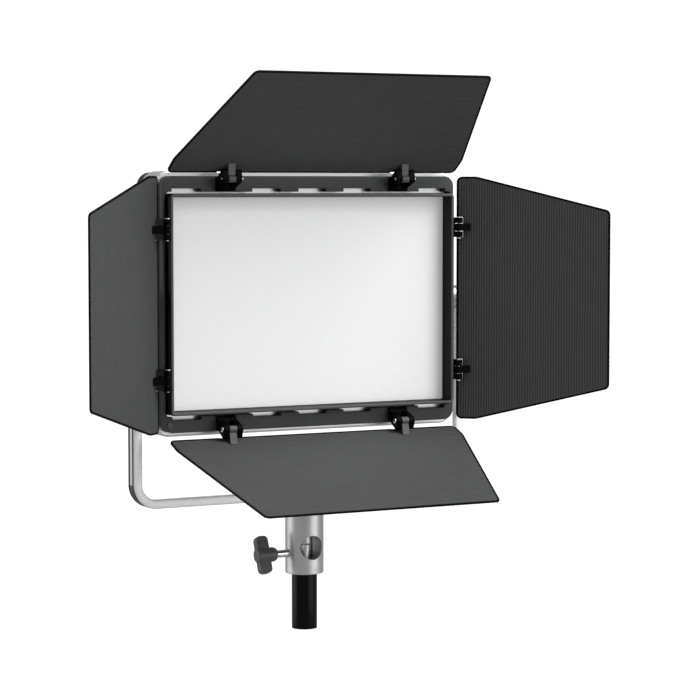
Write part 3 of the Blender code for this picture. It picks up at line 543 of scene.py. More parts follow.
def edged(profile, radius, steps=4):
    """The profile with the corners of every inner point rounded to the radius."""
    points = []
    for i, corner in enumerate(profile):
        if i in (0, len(profile) - 1):
            points.append(corner)
            continue
        here = Vector(corner)
        back, on = Vector(profile[i - 1]) - here, Vector(profile[i + 1]) - here
        reach = min(radius, back.length * 0.45, on.length * 0.45)
        a, b = here + back.normalized() * reach, here + on.normalized() * reach
        for step in range(steps + 1):
            t = step / steps
            points.append(tuple((1 - t) ** 2 * a + 2 * t * (1 - t) * here + t * t * b))
    return points


# ---- Riding and finish --------------------------------------------------------------------------
def dress(piece, material, body, slot, *nodes):
    """Gives the piece its material, ties it to a CAD body, and hides the CAD nodes it stands for."""
    piece.data.materials.clear()
    piece.data.materials.append(materials[material])
    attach(piece, body)
    if nodes:
        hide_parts(*nodes)
    return piece


def carried_over():
    """CAD nodes whose shape is right, with a better material."""
    for name, material in (
        ("heat_sink", "sink_aluminium"),
        ("driver_board", "circuit_green"),
        ("led_board", "circuit_green"),
        ("reflector_frame", "reflector_white"),
    ):
        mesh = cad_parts[name].data
        mesh.materials.clear()
        mesh.materials.append(materials[material])


# ---- Stand, receiver and yoke -------------------------------------------------------------------
def stand():
    socket, edge = STAND_TOP - SOCKET_DEPTH, 0.0002
    profile = [(0, socket), (RECEIVER_BORE, socket), (RECEIVER_BORE, STAND_TOP), (STAND_RADIUS, STAND_TOP)]
    profile += [(STAND_RADIUS, 0), (0, 0)]
    tube = turned("stand_tube_looks", edged(profile, edge))
    dress(tube, "stand_black", "stand", "stand_paint", "stand_tube")
    waist, slope, tip, blend = 0.008, 0.0015, 0.001, 0.0004
    profile = [(0, SPIGOT_TOP), (SPIGOT_RADIUS - tip, SPIGOT_TOP), (SPIGOT_RADIUS, SPIGOT_TOP - tip)]
    profile += [(SPIGOT_RADIUS, CLAMP_Z + waist + slope), (SPIGOT_WAIST, CLAMP_Z + waist)]
    profile += [(SPIGOT_WAIST, CLAMP_Z - waist), (SPIGOT_RADIUS, CLAMP_Z - waist - slope)]
    profile += [(SPIGOT_RADIUS, socket + GAP), (0, socket + GAP)]
    spigot = turned("stand_spigot_looks", edged(profile, blend, 2))
    dress(spigot, "spigot_steel", "stand", "spigot_steel", "stand_spigot")


def receiver():
    top, bore_top = YOKE_BOTTOM - GAP, SPIGOT_TOP + HEADROOM
    top_edge, edge, bore_edge, spare = 0.0006, 0.0012, 0.0005, 0.0005
    profile = [(0, top), (RECEIVER_RADIUS - top_edge, top), (RECEIVER_RADIUS, top - top_edge)]
    profile += [(RECEIVER_RADIUS, RECEIVER_BOTTOM + edge)]
    profile += [(RECEIVER_RADIUS - BLUNT * edge, RECEIVER_BOTTOM + BLUNT * edge)]
    profile += [(RECEIVER_RADIUS - edge, RECEIVER_BOTTOM), (RECEIVER_BORE + bore_edge, RECEIVER_BOTTOM)]
    profile += [(RECEIVER_BORE, RECEIVER_BOTTOM + bore_edge), (RECEIVER_BORE, bore_top), (0, bore_top)]
    made = turned("receiver_looks", profile, steps=128)
    window_way = Matrix.Translation((0, 0, WINDOW_Z)) @ ALONG_Y
    screw_way = Matrix.Translation((0, 0, CLAMP_Z)) @ ALONG_MINUS_X
    cut(
        made,
        rod("bolt_way", BOLT_HOLE, YOKE_BOLT_END - spare, top + THROUGH, YOKE_PLANE),
        rod("window", WINDOW_RADIUS, -RECEIVER_RADIUS - THROUGH, WINDOW_BACK, window_way, 72),
        rod("screw_way", BOLT_HOLE, SPIGOT_RADIUS / 2, RECEIVER_RADIUS + THROUGH, screw_way),
    )
    soften(made, 0.0004, 2)
    dress(made, "satin_aluminium", "yoke", "receiver_metal", "receiver")


def yoke_path(steps=14):
    """Points down the left arm, along the bar and up the right arm, on the outer face, with its normal."""
    top, out, low, bend = PIVOT_Z + YOKE_ABOVE_PIVOT, YOKE_HALF, YOKE_BOTTOM, YOKE_BEND
    path = [((-out, top), (-1, 0))]
    for centre, first in ((bend - out, 180), (out - bend, 270)):
        for i in range(steps + 1):
            a = math.radians(first + 90 * i / steps)
            normal = (math.cos(a), math.sin(a))
            path.append(((centre + bend * normal[0], low + bend + bend * normal[1]), normal))
    path.append(((out, top), (1, 0)))
    return path


def yoke_section():
    """(depth in Y, distance out from the outer face): two channels, and a slanting inner back corner."""
    half, edge, deep = YOKE_DEPTH / 2, 0.0007, 0.0007
    section = arc(-half + edge, -edge, edge, 180, 90, 4)
    for low, high in YOKE_CHANNELS:
        section += [(low, 0), (low, -deep), (high, -deep), (high, 0)]
    section += arc(half - edge, -edge, edge, 90, 0, 4)
    section += [(half, YOKE_SLANT - YOKE_BAR), (YOKE_INNER - half, -YOKE_BAR)]
    section += arc(-half + edge, -YOKE_BAR + edge, edge, -90, -180, 4)
    return section


def yoke():
    loops = []
    for (x, z), (nx, nz) in yoke_path():
        loops.append([(x + nx * t, PIVOT_Y + y, z + nz * t) for y, t in yoke_section()])
    made = loft("yoke_looks", loops)
    reach = YOKE_HALF + THROUGH
    low = YOKE_BOTTOM
    cut(
        made,
        rod("pivot_way", BOLT_HOLE, -reach, reach, PIVOT @ ALONG_X),
        rod("bolt_way", BOLT_HOLE, low - THROUGH, low + THROUGH, YOKE_PLANE),
        rod("bolt_seat", YOKE_BOLT_HEAD + GAP, YOKE_BOLT_SEAT, low + THROUGH, YOKE_PLANE),
    )
    dress(made, "yoke_silver", "yoke", "yoke_metal", "yoke")
    # the second material paints shade into the yoke's channels
    made.data.materials.append(materials["groove_painted_shade"])
    paint_channel_shade(made)


def paint_channel_shade(made):
    """Gives the floors and walls of the yoke's two channels a darker colour, as painted shade."""
    half, skin, floor = YOKE_DEPTH / 2 - 0.0007, 0.00003, 0.0009
    path = yoke_path()
    for face in made.data.polygons:
        spot = face.center
        if abs(spot.y - PIVOT_Y) > half:
            continue
        depth = min(depth_below(spot, point, normal) for point, normal in path)
        face.material_index = int(skin < depth < floor)


def depth_below(spot, point, normal):
    """How far a spot lies under the outer face's plane at this point of the path."""
    return (point[0] - spot.x) * normal[0] + (point[1] - spot.z) * normal[1]


def yoke_bolt():
    radius, height = YOKE_BOLT_HEAD, 0.008
    seat, end = YOKE_BOLT_SEAT + GAP, YOKE_BOLT_END
    profile = [(0, seat + height), (radius, seat + height), (radius, seat)]
    profile += [(BOLT_RADIUS, seat), (BOLT_RADIUS, end), (0, end)]
    made = turned("yoke_bolt_looks", edged(profile, 0.0007), YOKE_PLANE)
    key_radius, key_depth = 0.003, 0.0045
    cut(made, rod("key", key_radius, seat + height - key_depth, seat + THROUGH, YOKE_PLANE, 6))
    dress(made, "bright_steel", "yoke", "fixing_steel", "yoke_bolt")


def clamp():
    axis = Matrix.Translation((0, 0, CLAMP_Z)) @ ALONG_MINUS_X
    pad_radius, pad_front = 0.0036, SPIGOT_WAIST + GAP
    pad_back, screw_end = pad_front + 0.0023, 0.044
    profile = [(0, pad_back), (pad_radius, pad_back), (pad_radius, pad_front), (0, pad_front)]
    pad = turned("clamp_pad_looks", edged(profile, 0.0003, 2), axis)
    dress(pad, "brass", "clamp_slide", "pad_brass", "clamp_pad")
    start = pad_back + GAP
    profile = [(0, screw_end), (BOLT_RADIUS, screw_end), (BOLT_RADIUS, start), (0, start)]
    screw = turned("clamp_screw_looks", edged(profile, 0.0005), axis)
    dress(screw, "bright_steel", "clamp_knob", "fixing_steel", "clamp_screw")
    wing = wing_knob(axis, screw_end)
    dress(wing, "knob_grey", "clamp_knob", "wing_plastic", "clamp_wing")


def wing_knob(axis, screw_end):
    start, end, thick, corner = 0.0402, 0.0530, 0.0082, 0.0045
    lean = axis @ Matrix.Rotation(math.radians(WING_LEAN), 4, "Z")
    outline = rectangle(WING_REACH, (end - start) / 2, corner, y=(start + end) / 2)
    wing = flat("clamp_wing_looks", [outline], thick, lean @ FRONT)
    soften(wing, 0.0022, 4)
    wing.modifiers.clear()
    hub, neck, cone, collar, crown = 0.0074, 0.0060, 0.003, start - 0.008, end + 0.0008
    profile = [(0, crown), (hub, crown), (hub, collar + cone), (neck, collar), (0, collar)]
    unite(wing, turned("hub", edged(profile, 0.001), axis, steps=64))
    cut(wing, rod("bore", BOLT_HOLE, collar - THROUGH, screw_end + GAP, axis))
    soften(wing, 0.0006, 2, 40)
    return wing


def tilt_lock(side):
    name = "left" if side < 0 else "right"
    axis = PIVOT @ (ALONG_MINUS_X if side < 0 else ALONG_X)
    inside, outside = YOKE_HALF - YOKE_BAR - GAP, YOKE_HALF + GAP
    disc_start, disc_radius, ring_radius = HOUSING_HALF[0] + GAP, 0.012, 0.0105
    ring_back = outside + 0.002
    disc = washer(f"pivot_disc_{name}_looks", BOLT_HOLE, disc_radius, disc_start, inside, axis)
    dress(disc, "silver_paint", "head", "spacer_metal", f"pivot_disc_{name}")
    ring = washer(f"tilt_washer_{name}_looks", BOLT_HOLE, ring_radius, outside, ring_back, axis)
    dress(ring, "bright_steel", f"tilt_slide_{name}", "fixing_steel", f"tilt_washer_{name}")

    seat = ring_back + GAP
    bolt_end, tip = seat + 0.012, HOUSING_HALF[0] - HOUSING_WALL + GAP
    tilt_knob(f"tilt_knob_{name}", axis, seat, bolt_end)
    profile = [(0, bolt_end), (BOLT_RADIUS, bolt_end), (BOLT_RADIUS, tip), (0, tip)]
    bolt = turned(f"tilt_bolt_{name}_looks", edged(profile, 0.0005), axis)
    dress(bolt, "bright_steel", f"tilt_knob_{name}", "fixing_steel", f"tilt_bolt_{name}")


def tilt_knob(name, axis, seat, bolt_end):
    boss, grip, low, high = 0.0095, 0.0165, seat + 0.004, seat + 0.018
    lobes, lobe_depth, fade = 8, 0.0011, 0.004
    rim, dish, dish_floor, dish_top = 0.0022, 0.0012, 0.55 * grip, 0.62 * grip
    profile = [(0, high - dish), (dish_floor, high - dish), (dish_top, high), (grip - rim, high)]
    profile += [(grip, high - rim), (grip, low + rim), (grip - rim, low), (boss, low), (boss, seat)]
    profile += [(BOLT_HOLE, seat), (BOLT_HOLE, bolt_end + GAP), (0, bolt_end + GAP)]
    soft = edged(profile, 0.0006, 2)

    def wave(angle, i):
        r = soft[i][0]
        if r < boss + 0.001:
            return 1
        return 1 - lobe_depth / grip * (1 - math.cos(lobes * angle)) * min(1, (r - boss) / fade)

    knob = turned(f"{name}_looks", soft, axis, steps=128, wave=wave)
    dress(knob, "knob_black", name, "grip_plastic", name)


def washer(name, inner, outer, low, high, axis):
    edge = 0.0003
    profile = [(outer - edge, high), (outer, high - edge), (outer, low + edge), (outer - edge, low)]
    profile += [(inner, low), (inner, high)]
    return turned(name, profile, axis, closed=True)


# ---- Lamp head ----------------------------------------------------------------------------------
def housing():
    front, back, wall = HOUSING_FRONT, HOUSING_BACK, HOUSING_WALL
    edge, back_edge, room = 0.0018, 0.0004, 0.0004
    seam, slope, seam_width, seam_depth = 0.0033, 0.0001, 0.0008, 0.0006
    profile = [(-wall, back), (-back_edge, back), (0, back - back_edge), (0, front + edge)]
    for i in range(1, 6):
        a = math.radians(18 * i)
        profile.append((-edge + edge * math.cos(a), front + edge - edge * math.sin(a)))
    seam_end = seam + slope + seam_width
    profile += [(-seam, front), (-seam - slope, front + seam_depth)]
    profile += [(-seam_end, front + seam_depth), (-seam_end - slope, front)]
    stations = offsets(HOUSING_HALF, HOUSING_CORNER, profile)
    hole, hole_corner = grown(RIM_HALF, room), RIM_CORNER + room
    stations += [(hole, hole_corner, front), (hole, hole_corner, front + wall)]
    stations += offsets(HOUSING_HALF, HOUSING_CORNER, [(-wall, front + wall)])
    made = loft("housing_looks", hoops(stations), closed=True)
    reach = HOUSING_HALF[0] + THROUGH
    cut(made, rod("pivots", BOLT_HOLE, -reach, reach, PIVOT @ ALONG_X))
    dress(made, "silver_paint", "head", "housing_metal", "housing_frame")


def bezel():
    flange_front, flange_width, edge = HOUSING_FRONT + HOUSING_WALL + GAP, 0.005, 0.0007
    flange_back = flange_front + 0.0019
    back, blunt = flange_back + 0.0001, BLUNT * edge
    profile = [(-RIM_WALL, back), (-RIM_WALL, RIM_FRONT + edge), (-RIM_WALL + blunt, RIM_FRONT + blunt)]
    profile += [(-RIM_WALL + edge, RIM_FRONT), (-edge, RIM_FRONT), (-blunt, RIM_FRONT + blunt)]
    profile += [(0, RIM_FRONT + edge), (0, flange_front), (flange_width, flange_front)]
    profile += [(flange_width, flange_back), (0, flange_back), (0, back)]
    made = loft("bezel_looks", hoops(offsets(RIM_HALF, RIM_CORNER, profile)), closed=True)
    dress(made, "bezel_grey", "head", "bezel_plastic", "front_bezel")
    # every face behind the front edge takes the near-black painted shade
    made.data.materials.append(materials["bezel_wall_shade"])
    for face in made.data.polygons:
        face.material_index = int(face.center.y > RIM_FRONT + edge)


def diffuser():
    room, corner = 0.0004, 0.0015
    inner = grown(RIM_HALF, -RIM_WALL - room)
    back, edge = DIFFUSER_FRONT + DIFFUSER_THICK, 0.0003
    profile = [(-edge, DIFFUSER_FRONT), (0, DIFFUSER_FRONT + edge), (0, back)]
    made = loft("diffuser_looks", hoops(offsets(inner, corner, profile)))
    dress(made, "opal", "head", "diffuser_opal", "diffuser_panel")


def barn_door_frame():
    back, edge = HOUSING_FRONT - GAP, 0.0006
    blunt, lock_hole = BLUNT * edge, 0.0021
    outer = [(0, back), (0, PLATE_FRONT + edge), (-blunt, PLATE_FRONT + blunt), (-edge, PLATE_FRONT)]
    inner = [(edge, PLATE_FRONT), (0, PLATE_FRONT + edge), (0, back)]
    stations = offsets(PLATE_HALF, PLATE_CORNER, outer)
    stations += offsets(PLATE_WINDOW, PLATE_CORNER / 2, inner)
    made = loft("frame_looks", hoops(stations), closed=True)
    size = (NOTCH_LENGTH, 2 * THROUGH, 2 * NOTCH_DEPTH)
    tools = []
    for side in (-1, 1):
        for x in NOTCH_CENTRES:
            tools.append(box("notch", (x, PLATE_FRONT, side * PLATE_WINDOW[1]), size, CENTRE))
    place = Matrix.Translation(LOCK_SPOT) @ FRONT
    tools.append(rod("lock_way", lock_hole, -THROUGH, THROUGH, place))
    cut(made, *tools)
    dress(made, "frame_grey", "head", "frame_paint", "barn_door_frame")


def lock_screw():
    """The screw at a corner of the frame, with a hexagonal key way."""
    crown, head, shank, height, rim, end = 0.0022, 0.003, 0.0018, 0.0015, 0.0009, -0.0095
    key, key_floor = 0.0012, 0.0004
    place = Matrix.Translation(LOCK_SPOT) @ FRONT
    profile = [(0, height), (crown, height), (head, rim), (head, GAP), (shank, GAP)]
    profile += [(shank, end), (0, end)]
    made = turned("lock_screw_looks", edged(profile, 0.0003, 2), place, steps=48)
    cut(made, rod("key", key, key_floor, THROUGH, place, steps=6))
    dress(made, "tab_grey", "head", "fixing_steel", "frame_lock_screw")


def on_back(x, z):
    return Matrix.Translation((x, 0, z)) @ ALONG_Y


def rear_cover():
    front, edge, wall = HOUSING_BACK + GAP, 0.002, COVER_WALL
    profile = [(-wall, COVER_BACK - wall), (-wall, front), (0, front), (0, COVER_BACK - edge)]
    for i in range(1, 7):
        a = math.radians(15 * i)
        profile.append((-edge + edge * math.cos(a), COVER_BACK - edge + edge * math.sin(a)))
    half, corner = grown(HOUSING_HALF, -COVER_INSET), HOUSING_CORNER - COVER_INSET
    made = loft("rear_cover_looks", hoops(offsets(half, corner, profile)))
    cut(made, *vents(), *control_ways(front))
    soften(made, 0.0003, 2, 60)
    dress(made, "cover_black", "head", "cover_plastic", "rear_cover")


def vents():
    """Cutters for two rows of long slots."""
    rows, pitch, away, low = 7, 0.009, 0.092, PIVOT_Z + 0.04
    half_length, half_width, corner = 0.035, 0.0016, 0.00155
    tools = []
    for side in (-1, 1):
        for row in range(rows):
            outline = rectangle(half_length, half_width, corner, steps=5)
            place = Matrix.Translation((side * away, COVER_BACK, low + pitch * row)) @ FRONT
            tools.append(flat("vent", [outline], THROUGH, place))
    return tools


def control_ways(front):
    """Cutters for the display's pocket and for every control's way through the cover."""
    pocket = (DISPLAY[0] + 2 * GAP, 2 * DISPLAY[1], DISPLAY[2] + 2 * GAP)
    rocker_way = (ROCKER_SIZE[0] + 2 * GAP, THROUGH, 2 * ROCKER_SIZE[1] + 0.0008)
    tools = [box("pocket", (0, COVER_BACK, CONTROL_Z), pocket)]
    tools.append(box("rocker_way", (ROCKER_X, COVER_BACK, CONTROL_Z), rocker_way))
    spots = [(0, BUTTON_Z, BUTTON_RADIUS), (INLET_X, CONTROL_Z, INLET_RADIUS)]
    spots += [(-DIAL_X, CONTROL_Z, SHAFT_RADIUS), (DIAL_X, CONTROL_Z, SHAFT_RADIUS)]
    for x, z, radius in spots:
        tools.append(rod("way", radius + GAP, front, COVER_BACK + THROUGH, on_back(x, z)))
    return tools


def dial(name, x):
    seat, high, radius, crown = COVER_BACK + 0.0005, COVER_BACK + 0.0135, 0.012, 0.0115
    end, ribs, rib_depth, skirt, plain = 0.033, 40, 0.035, 0.0022, 0.0004
    dish, dish_floor, dish_top = 0.0006, crown - 0.0026, crown - 0.0018
    profile = [(0, high - dish), (dish_floor, high - dish), (dish_top, high), (crown, high)]
    profile += [(radius, seat + skirt), (radius, seat)]
    profile += [(SHAFT_RADIUS, seat), (SHAFT_RADIUS, end), (0, end)]
    soft = edged(profile, 0.0007, 3)

    def wave(angle, i):
        r, z = soft[i]
        ribbed = r > crown - 0.0003 and seat + skirt + plain < z < high - plain
        return 1 - rib_depth * (0.5 + 0.5 * math.cos(ribs * angle)) ** 2 if ribbed else 1

    made = turned(f"{name}_looks", soft, on_back(x, CONTROL_Z), steps=ribs * 6, wave=wave)
    mark_up, mark_way, mark_size = 0.0062, (0.0013, 0.0012, 0.0048), (0.0011, 0.0006, 0.0046)
    cut(made, box("mark_way", (x, high + 0.0002, CONTROL_Z + mark_up), mark_way))
    dress(made, "knob_black", name, "grip_plastic", name)
    line = soften(box(f"{name}_mark", (x, high - 0.0005, CONTROL_Z + mark_up), mark_size), 0.0001, 2)
    dress(line, "mark_white", name, "grip_plastic")


def display():
    centre = (0, COVER_BACK + GAP - DISPLAY[1] / 2, CONTROL_Z)
    made = soften(box("display_looks", centre, DISPLAY), 0.0003, 3)
    dress(made, "display_glass", "head", "display", "display_window")


def inlet():
    collar, edge, proud = 0.0083, 0.0004, 0.002
    face = COVER_BACK + proud
    pin, bore, floor, end = 0.001, 0.0032, 0.031, 0.0285
    profile = [(0, face - proud), (pin, face - proud), (pin, floor), (bore, floor), (bore, face)]
    profile += [(collar - edge, face), (collar, face - edge), (collar, COVER_BACK + GAP)]
    profile += [(INLET_RADIUS, COVER_BACK + GAP), (INLET_RADIUS, end), (0, end)]
    made = turned("dc_inlet_looks", edged(profile, 0.0003, 2), on_back(INLET_X, CONTROL_Z))
    dress(made, "knob_black", "head", "cover_plastic", "dc_inlet")


def button():
    low, high, radius = 0.0335, COVER_BACK + 0.0018, BUTTON_RADIUS
    edge, dish, middle = 0.0006, 0.0004, 0.6 * radius
    profile = [(0, high - dish), (middle, high - 0.75 * dish), (radius - edge, high)]
    profile += [(radius, high - edge), (radius, low), (0, low)]
    made = turned("mode_button_looks", edged(profile, 0.0004, 2), on_back(0, BUTTON_Z))
    dress(made, "frame_grey", "mode_button", "wing_plastic", "mode_button")


def rocker():
    width, reach = ROCKER_SIZE
    end, dip = 20, 0.0018
    outline = arc(0, 0, reach, -end, end, 8) + [(0, dip)] + arc(0, 0, reach, 180 - end, 180 + end, 8)
    lean = Matrix.Rotation(math.radians(ROCKER_REST), 4, "X")
    upright = Matrix(((0, 0, -1, 0), (0, 1, 0, 0), (1, 0, 0, 0), (0, 0, 0, 1)))
    place = Matrix.Translation((ROCKER_X, ROCKER_PIVOT_Y, CONTROL_Z)) @ lean @ upright
    made = soften(flat("power_rocker_looks", [outline], width, place), 0.0004, 3)
    dress(made, "knob_black", "power_rocker", "grip_plastic", "power_rocker")


# ---- Barn doors ---------------------------------------------------------------------------------
def side_frame(turn):
    return CENTRE @ Matrix.Rotation(math.radians(turn), 4, "Y")


def across(place, x):
    return place @ Matrix(((0, 0, 1, x), (1, 0, 0, 0), (0, 1, 0, 0), (0, 0, 0, 1)))


def rail_bracket_outline(pin_y, pin_out):
    front, nose = PLATE_FRONT - GAP, arc(pin_y, pin_out, EAR_RADIUS, 165, 240, 8)
    crest = arc(pin_y - 0.0005, pin_out + EAR_PEAK - 0.0015, 0.0015, 75, 170, 6)
    foot_in, foot_out, thick = PLATE_WINDOW[1] + 0.0002, PLATE_HALF[1] - 0.001, 0.004
    foot = [(front, foot_in), (front, foot_out), (front - thick, foot_out)]
    heel, toe = 0.0005, 0.0015  # the foot's underside slants between these, past and short of its thickness
    return foot + crest + nose + [(front - thick - heel, foot_in + thick), (front - thick + toe, foot_in)]


def edge_bracket_outline(pin_y, pin_out):
    front, nose = PLATE_FRONT - GAP, arc(pin_y, pin_out, EAR_RADIUS, 60, 240, 16)
    edge, back, lip, shoulder = PLATE_HALF[0] + GAP, HOUSING_FRONT - 0.001, 0.0033, 0.004
    overlap, inner, chamfer = 0.0025, 0.0042, 0.001
    outline = [(front, edge - overlap), (front, edge), (back, edge), (back, edge + lip)]
    outline.append((front - shoulder, edge + lip))
    return outline + nose + [(front - shoulder, edge - inner), (front - chamfer, edge - inner)]


def bracket(name, place, x, pin_y, pin_out, wide_rail):
    outline = rail_bracket_outline(pin_y, pin_out) if wide_rail else edge_bracket_outline(pin_y, pin_out)
    made = flat(f"{name}_looks", [outline], BRACKET_WIDTH, across(place, x))
    deep, tall, web = 0.04, 0.03, 0.0045  # the slot's own size, and what it leaves in front of the plate
    lip, shallow = 0.0025, 0.0035  # a side bracket's slot leaves its lip, and runs further in at its front
    edge, inner = PLATE_HALF[0] - 0.0001, PLATE_HALF[0] - 0.01
    if wide_rail:
        slots = [(PLATE_FRONT - web - deep / 2, pin_out + 0.003)]
    else:
        slots = [(PLATE_FRONT + lip - deep / 2, edge + tall / 2)]
        slots.append((PLATE_FRONT - shallow - deep / 2, inner + tall / 2))
    pin_way = place @ Matrix.Translation((x, pin_y, pin_out)) @ ALONG_X
    tools = [box("slot", (x, y, out), (SLOT_WIDTH, deep, tall), place) for y, out in slots]
    tools.append(rod("pin_way", PIN_HOLE, -BRACKET_WIDTH, BRACKET_WIDTH, pin_way, steps=32))
    cut(made, *tools)
    soften(made, 0.00035, 2, 40)
    dress(made, "hinge_black", "head", "hinge_plastic", name)


def hinge_pin(name, place, x, pin_y, pin_out):
    head, height, proud, seat = 0.0026, 0.0012, 0.0006, BRACKET_WIDTH / 2 + GAP
    profile = [(0, seat + height), (head, seat + height), (head, seat), (PIN_RADIUS, seat)]
    profile += [(PIN_RADIUS, -seat - proud), (0, -seat - proud)]
    matrix = place @ Matrix.Translation((x, pin_y, pin_out)) @ ALONG_X
    made = turned(f"{name}_looks", edged(profile, 0.0005, 3), matrix, steps=48)
    dress(made, "bright_steel", "head", "fixing_steel", name)


def leaf_tab(name, hinge, x, body, material):
    knuckle, pad, pad_start, web_start, web_end = 0.0038, 0.0014, -0.003, 0.0049, 0.0098
    face = -LEAF_OFFSET + GAP
    outline = arc(0, 0, knuckle, -30, 280, 24)
    outline += [(web_start, face + pad), (pad_start, face + pad), (pad_start, face), (web_end, face)]
    made = flat(f"{name}_looks", [outline], TAB_WIDTH, across(hinge, x))
    bore = hinge @ Matrix.Translation((x, 0, 0)) @ ALONG_X
    cut(made, rod("bore", PIN_HOLE, -TAB_WIDTH, TAB_WIDTH, bore, steps=32))
    soften(made, 0.0003, 2, 40)
    dress(made, material, body, "leaf_sheet", name)


def leaf_outline(size, inset):
    """A leaf's outline, drawn in by the inset."""
    half, taper, edge = size[:3]
    start, straight, end = inset - edge, LEAF_STRAIGHT, LEAF_END - inset
    side, corner, shoulder = half - inset, LEAF_CORNER - inset, 0.02
    slope = taper / (LEAF_END - LEAF_STRAIGHT)
    drawn = taper - slope * inset
    corners = [(-side, start), (side, start), (side, straight), (side - drawn, end)]
    corners += [(-side + drawn, end), (-side, straight)]
    return rounded(corners, [corner, corner, shoulder, corner, corner, shoulder], 8)


def leaf_notches(size, hinges, inset, hinge):
    """Cutters for the cut-out in a leaf's edge at each hinge."""
    deep, past = size[3] + inset, 0.01
    notch = (NOTCH_WIDTH + 2 * inset, deep + size[2] + past, 2 * past)
    return [box("leaf_notch", (x, deep - notch[1] / 2, -LEAF_OFFSET), notch, hinge) for x in hinges]


def ribbed_slab(name, half, low, high, matrix):
    """A slab in the leaf's plane: its top is ribbed across the leaf, the ribs' crests at 0."""
    crest, slope = 0.36 * RIB_PITCH, 0.14 * RIB_PITCH
    thick, past, y = 0.0005, 0.01, low - RIB_PITCH
    line = []
    while y < high + RIB_PITCH:
        line += [(y, 0), (y + crest, 0), (y + crest + slope, -RIB_DEPTH), (y + 2 * crest + slope, -RIB_DEPTH)]
        y += RIB_PITCH
    line += [(y, -RIB_DEPTH), (y, -thick), (line[0][0], -thick)]
    ends = [[(x, py, pz) for py, pz in line] for x in (-half - past, half + past)]
    return loft(name, ends, matrix)


def leaf(side, hinge, hinges):
    """A leaf's hem, coloured near-black as painted shade, with the ribbed sheet on its inside and the plain
    one on its outside.
    """
    size, body = LEAVES[side], f"leaf_{side}"
    outer_face, inner_face = -LEAF_OFFSET - LEAF_THICK, -LEAF_OFFSET
    middle = Matrix.Translation((0, 0, (outer_face + inner_face) / 2))
    trim = flat(f"leaf_{side}_edging", [leaf_outline(size, 0)], LEAF_THICK, hinge @ middle)
    recess, depth = leaf_outline(size, LEAF_TRIM), 0.0005
    room, notch_room, back_depth, back_thick = 0.00005, 0.0004, 0.0003, 0.0004
    cut(
        trim,
        flat("inside", [recess], 2 * depth, hinge @ Matrix.Translation((0, 0, inner_face))),
        flat("outside", [recess], 2 * depth, hinge @ Matrix.Translation((0, 0, outer_face))),
        *leaf_notches(size, hinges, 0, hinge),
    )
    soften(trim, 0.0002, 2, 50)
    dress(trim, "leaf_edge_shade", body, "leaf_sheet", f"leaf_{side}")

    place = hinge @ Matrix.Translation((0, 0, inner_face - room))
    sheet = ribbed_slab(f"leaf_{side}_ribbed", size[0], -size[2], LEAF_END, place)
    inside = leaf_outline(size, LEAF_TRIM + room)
    shape = flat("shape", [inside], THROUGH, place)
    combine(sheet, [shape], "INTERSECT")
    cut(sheet, *leaf_notches(size, hinges, notch_room, hinge))
    dress(sheet, "leaf_grey", body, "leaf_sheet")

    place = hinge @ Matrix.Translation((0, 0, outer_face + back_depth))
    back = flat(f"leaf_{side}_outside", [inside], back_thick, place)
    cut(back, *leaf_notches(size, hinges, notch_room, hinge))
    dress(back, "leaf_grey", body, "leaf_sheet")


def barn_door(side):
    turn, pin_y, pin_out, opening, hinges = SIDES[side]
    place = side_frame(turn)
    swing = Matrix.Rotation(-math.radians(90 + opening), 4, "X")
    hinge = place @ Matrix.Translation((0, pin_y, pin_out)) @ swing
    wide_rail = side in ("top", "bottom")
    # the side hinges' tabs are near-black as painted shade; the top and bottom ones keep the tabs' grey
    tab_material = "tab_grey" if wide_rail else "leaf_edge_shade"
    leaf(side, hinge, hinges.values())
    for spot, x in hinges.items():
        bracket(f"hinge_bracket_{side}_{spot}", place, x, pin_y, pin_out, wide_rail)
        hinge_pin(f"hinge_pin_{side}_{spot}", place, x, pin_y, pin_out)
        leaf_tab(f"leaf_tab_{side}_{spot}", hinge, x, f"leaf_{side}", tab_material)


# ---- Stage, light and camera --------------------------------------------------------------------
def glow(name, colour, strength, base):
    made = bpy.data.materials.new(name)
    made.use_nodes = True
    shader = made.node_tree.nodes["Principled BSDF"]
    shader.inputs["Base Color"].default_value = (base, base, base, 1)
    shader.inputs["Roughness"].default_value = 0.9
    shader.inputs["Specular IOR Level"].default_value = 0.0
    shader.inputs["Emission Color"].default_value = (*colour, 1)
    shader.inputs["Emission Strength"].default_value = strength
    return made


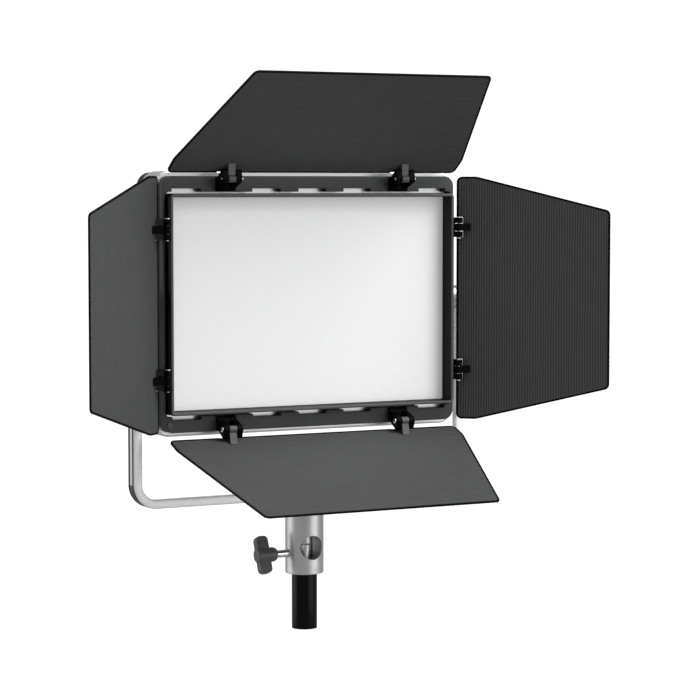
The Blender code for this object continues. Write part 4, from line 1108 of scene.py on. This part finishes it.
def stage():
    """A white sheet behind the object, square to the camera and a little wider than its view."""
    half, centre, turn = 1.5, (2.12, 3.96, -0.03), math.radians(-27.6)
    shape = bmesh.new()
    bmesh.ops.create_grid(shape, x_segments=1, y_segments=1, size=half)
    place = Matrix.Translation(centre) @ Matrix.Rotation(turn, 4, "Z") @ FRONT
    backdrop = add_object("backdrop", shape, place)
    backdrop.data.materials.append(glow("backdrop_white", (1, 1, 1), 1.1, 0.1))


def softbox(name, azimuth, elevation, distance, size, radiance):
    """An area light aimed at the object. Azimuth 0 is in front of it and 90 on its right, in degrees."""
    turn, rise = math.radians(azimuth), math.radians(elevation)
    away = Vector((math.sin(turn) * math.cos(rise), -math.cos(turn) * math.cos(rise), math.sin(rise)))
    data = bpy.data.lights.new(name, "AREA")
    data.shape = "RECTANGLE"
    data.size, data.size_y = size
    data.energy = radiance * math.pi * size[0] * size[1]
    made = bpy.data.objects.new(name, data)
    made.location = Vector((0, 0, PIVOT_Z)) + distance * away
    made.rotation_euler = away.to_track_quat("Z", "Y").to_euler()
    made.visible_camera = False
    bpy.context.scene.collection.objects.link(made)


def lights():
    world = bpy.data.worlds.new("studio")
    world.use_nodes = True
    sky = world.node_tree.nodes["Background"]
    sky.inputs["Color"].default_value = (1, 1, 1, 1)
    sky.inputs["Strength"].default_value = 0.36
    bpy.context.scene.world = world
    softbox("key_light", 36, 10, 3.2, (2.9, 3.4), 1.28)
    softbox("side_light", -121, 4, 3.2, (2.6, 2.8), 1.0)
    softbox("high_light", 45, 48, 3.2, (2.2, 2.2), 5.4)


def camera():
    data = bpy.data.cameras.new("camera")
    data.sensor_width = 36
    data.lens = 123.43
    data.clip_end = 100
    made = bpy.data.objects.new("camera", data)
    made.location = (-1.0767, -2.1584, 0.4474)
    made.rotation_euler = (math.radians(86.08), 0, math.radians(-27.61))
    bpy.context.scene.collection.objects.link(made)
    bpy.context.scene.camera = made
    bpy.context.scene.view_settings.view_transform = "Standard"


# ---- Assembly -----------------------------------------------------------------------------------
def build():
    make_materials()
    carried_over()
    stand()
    receiver()
    yoke()
    yoke_bolt()
    clamp()
    for side in (-1, 1):
        tilt_lock(side)
    housing()
    bezel()
    diffuser()
    barn_door_frame()
    lock_screw()
    rear_cover()
    dial("brightness_knob", DIAL_X)
    dial("colour_knob", -DIAL_X)
    display()
    inlet()
    button()
    rocker()
    for side in SIDES:
        barn_door(side)
    stage()
    lights()
    camera()


build()
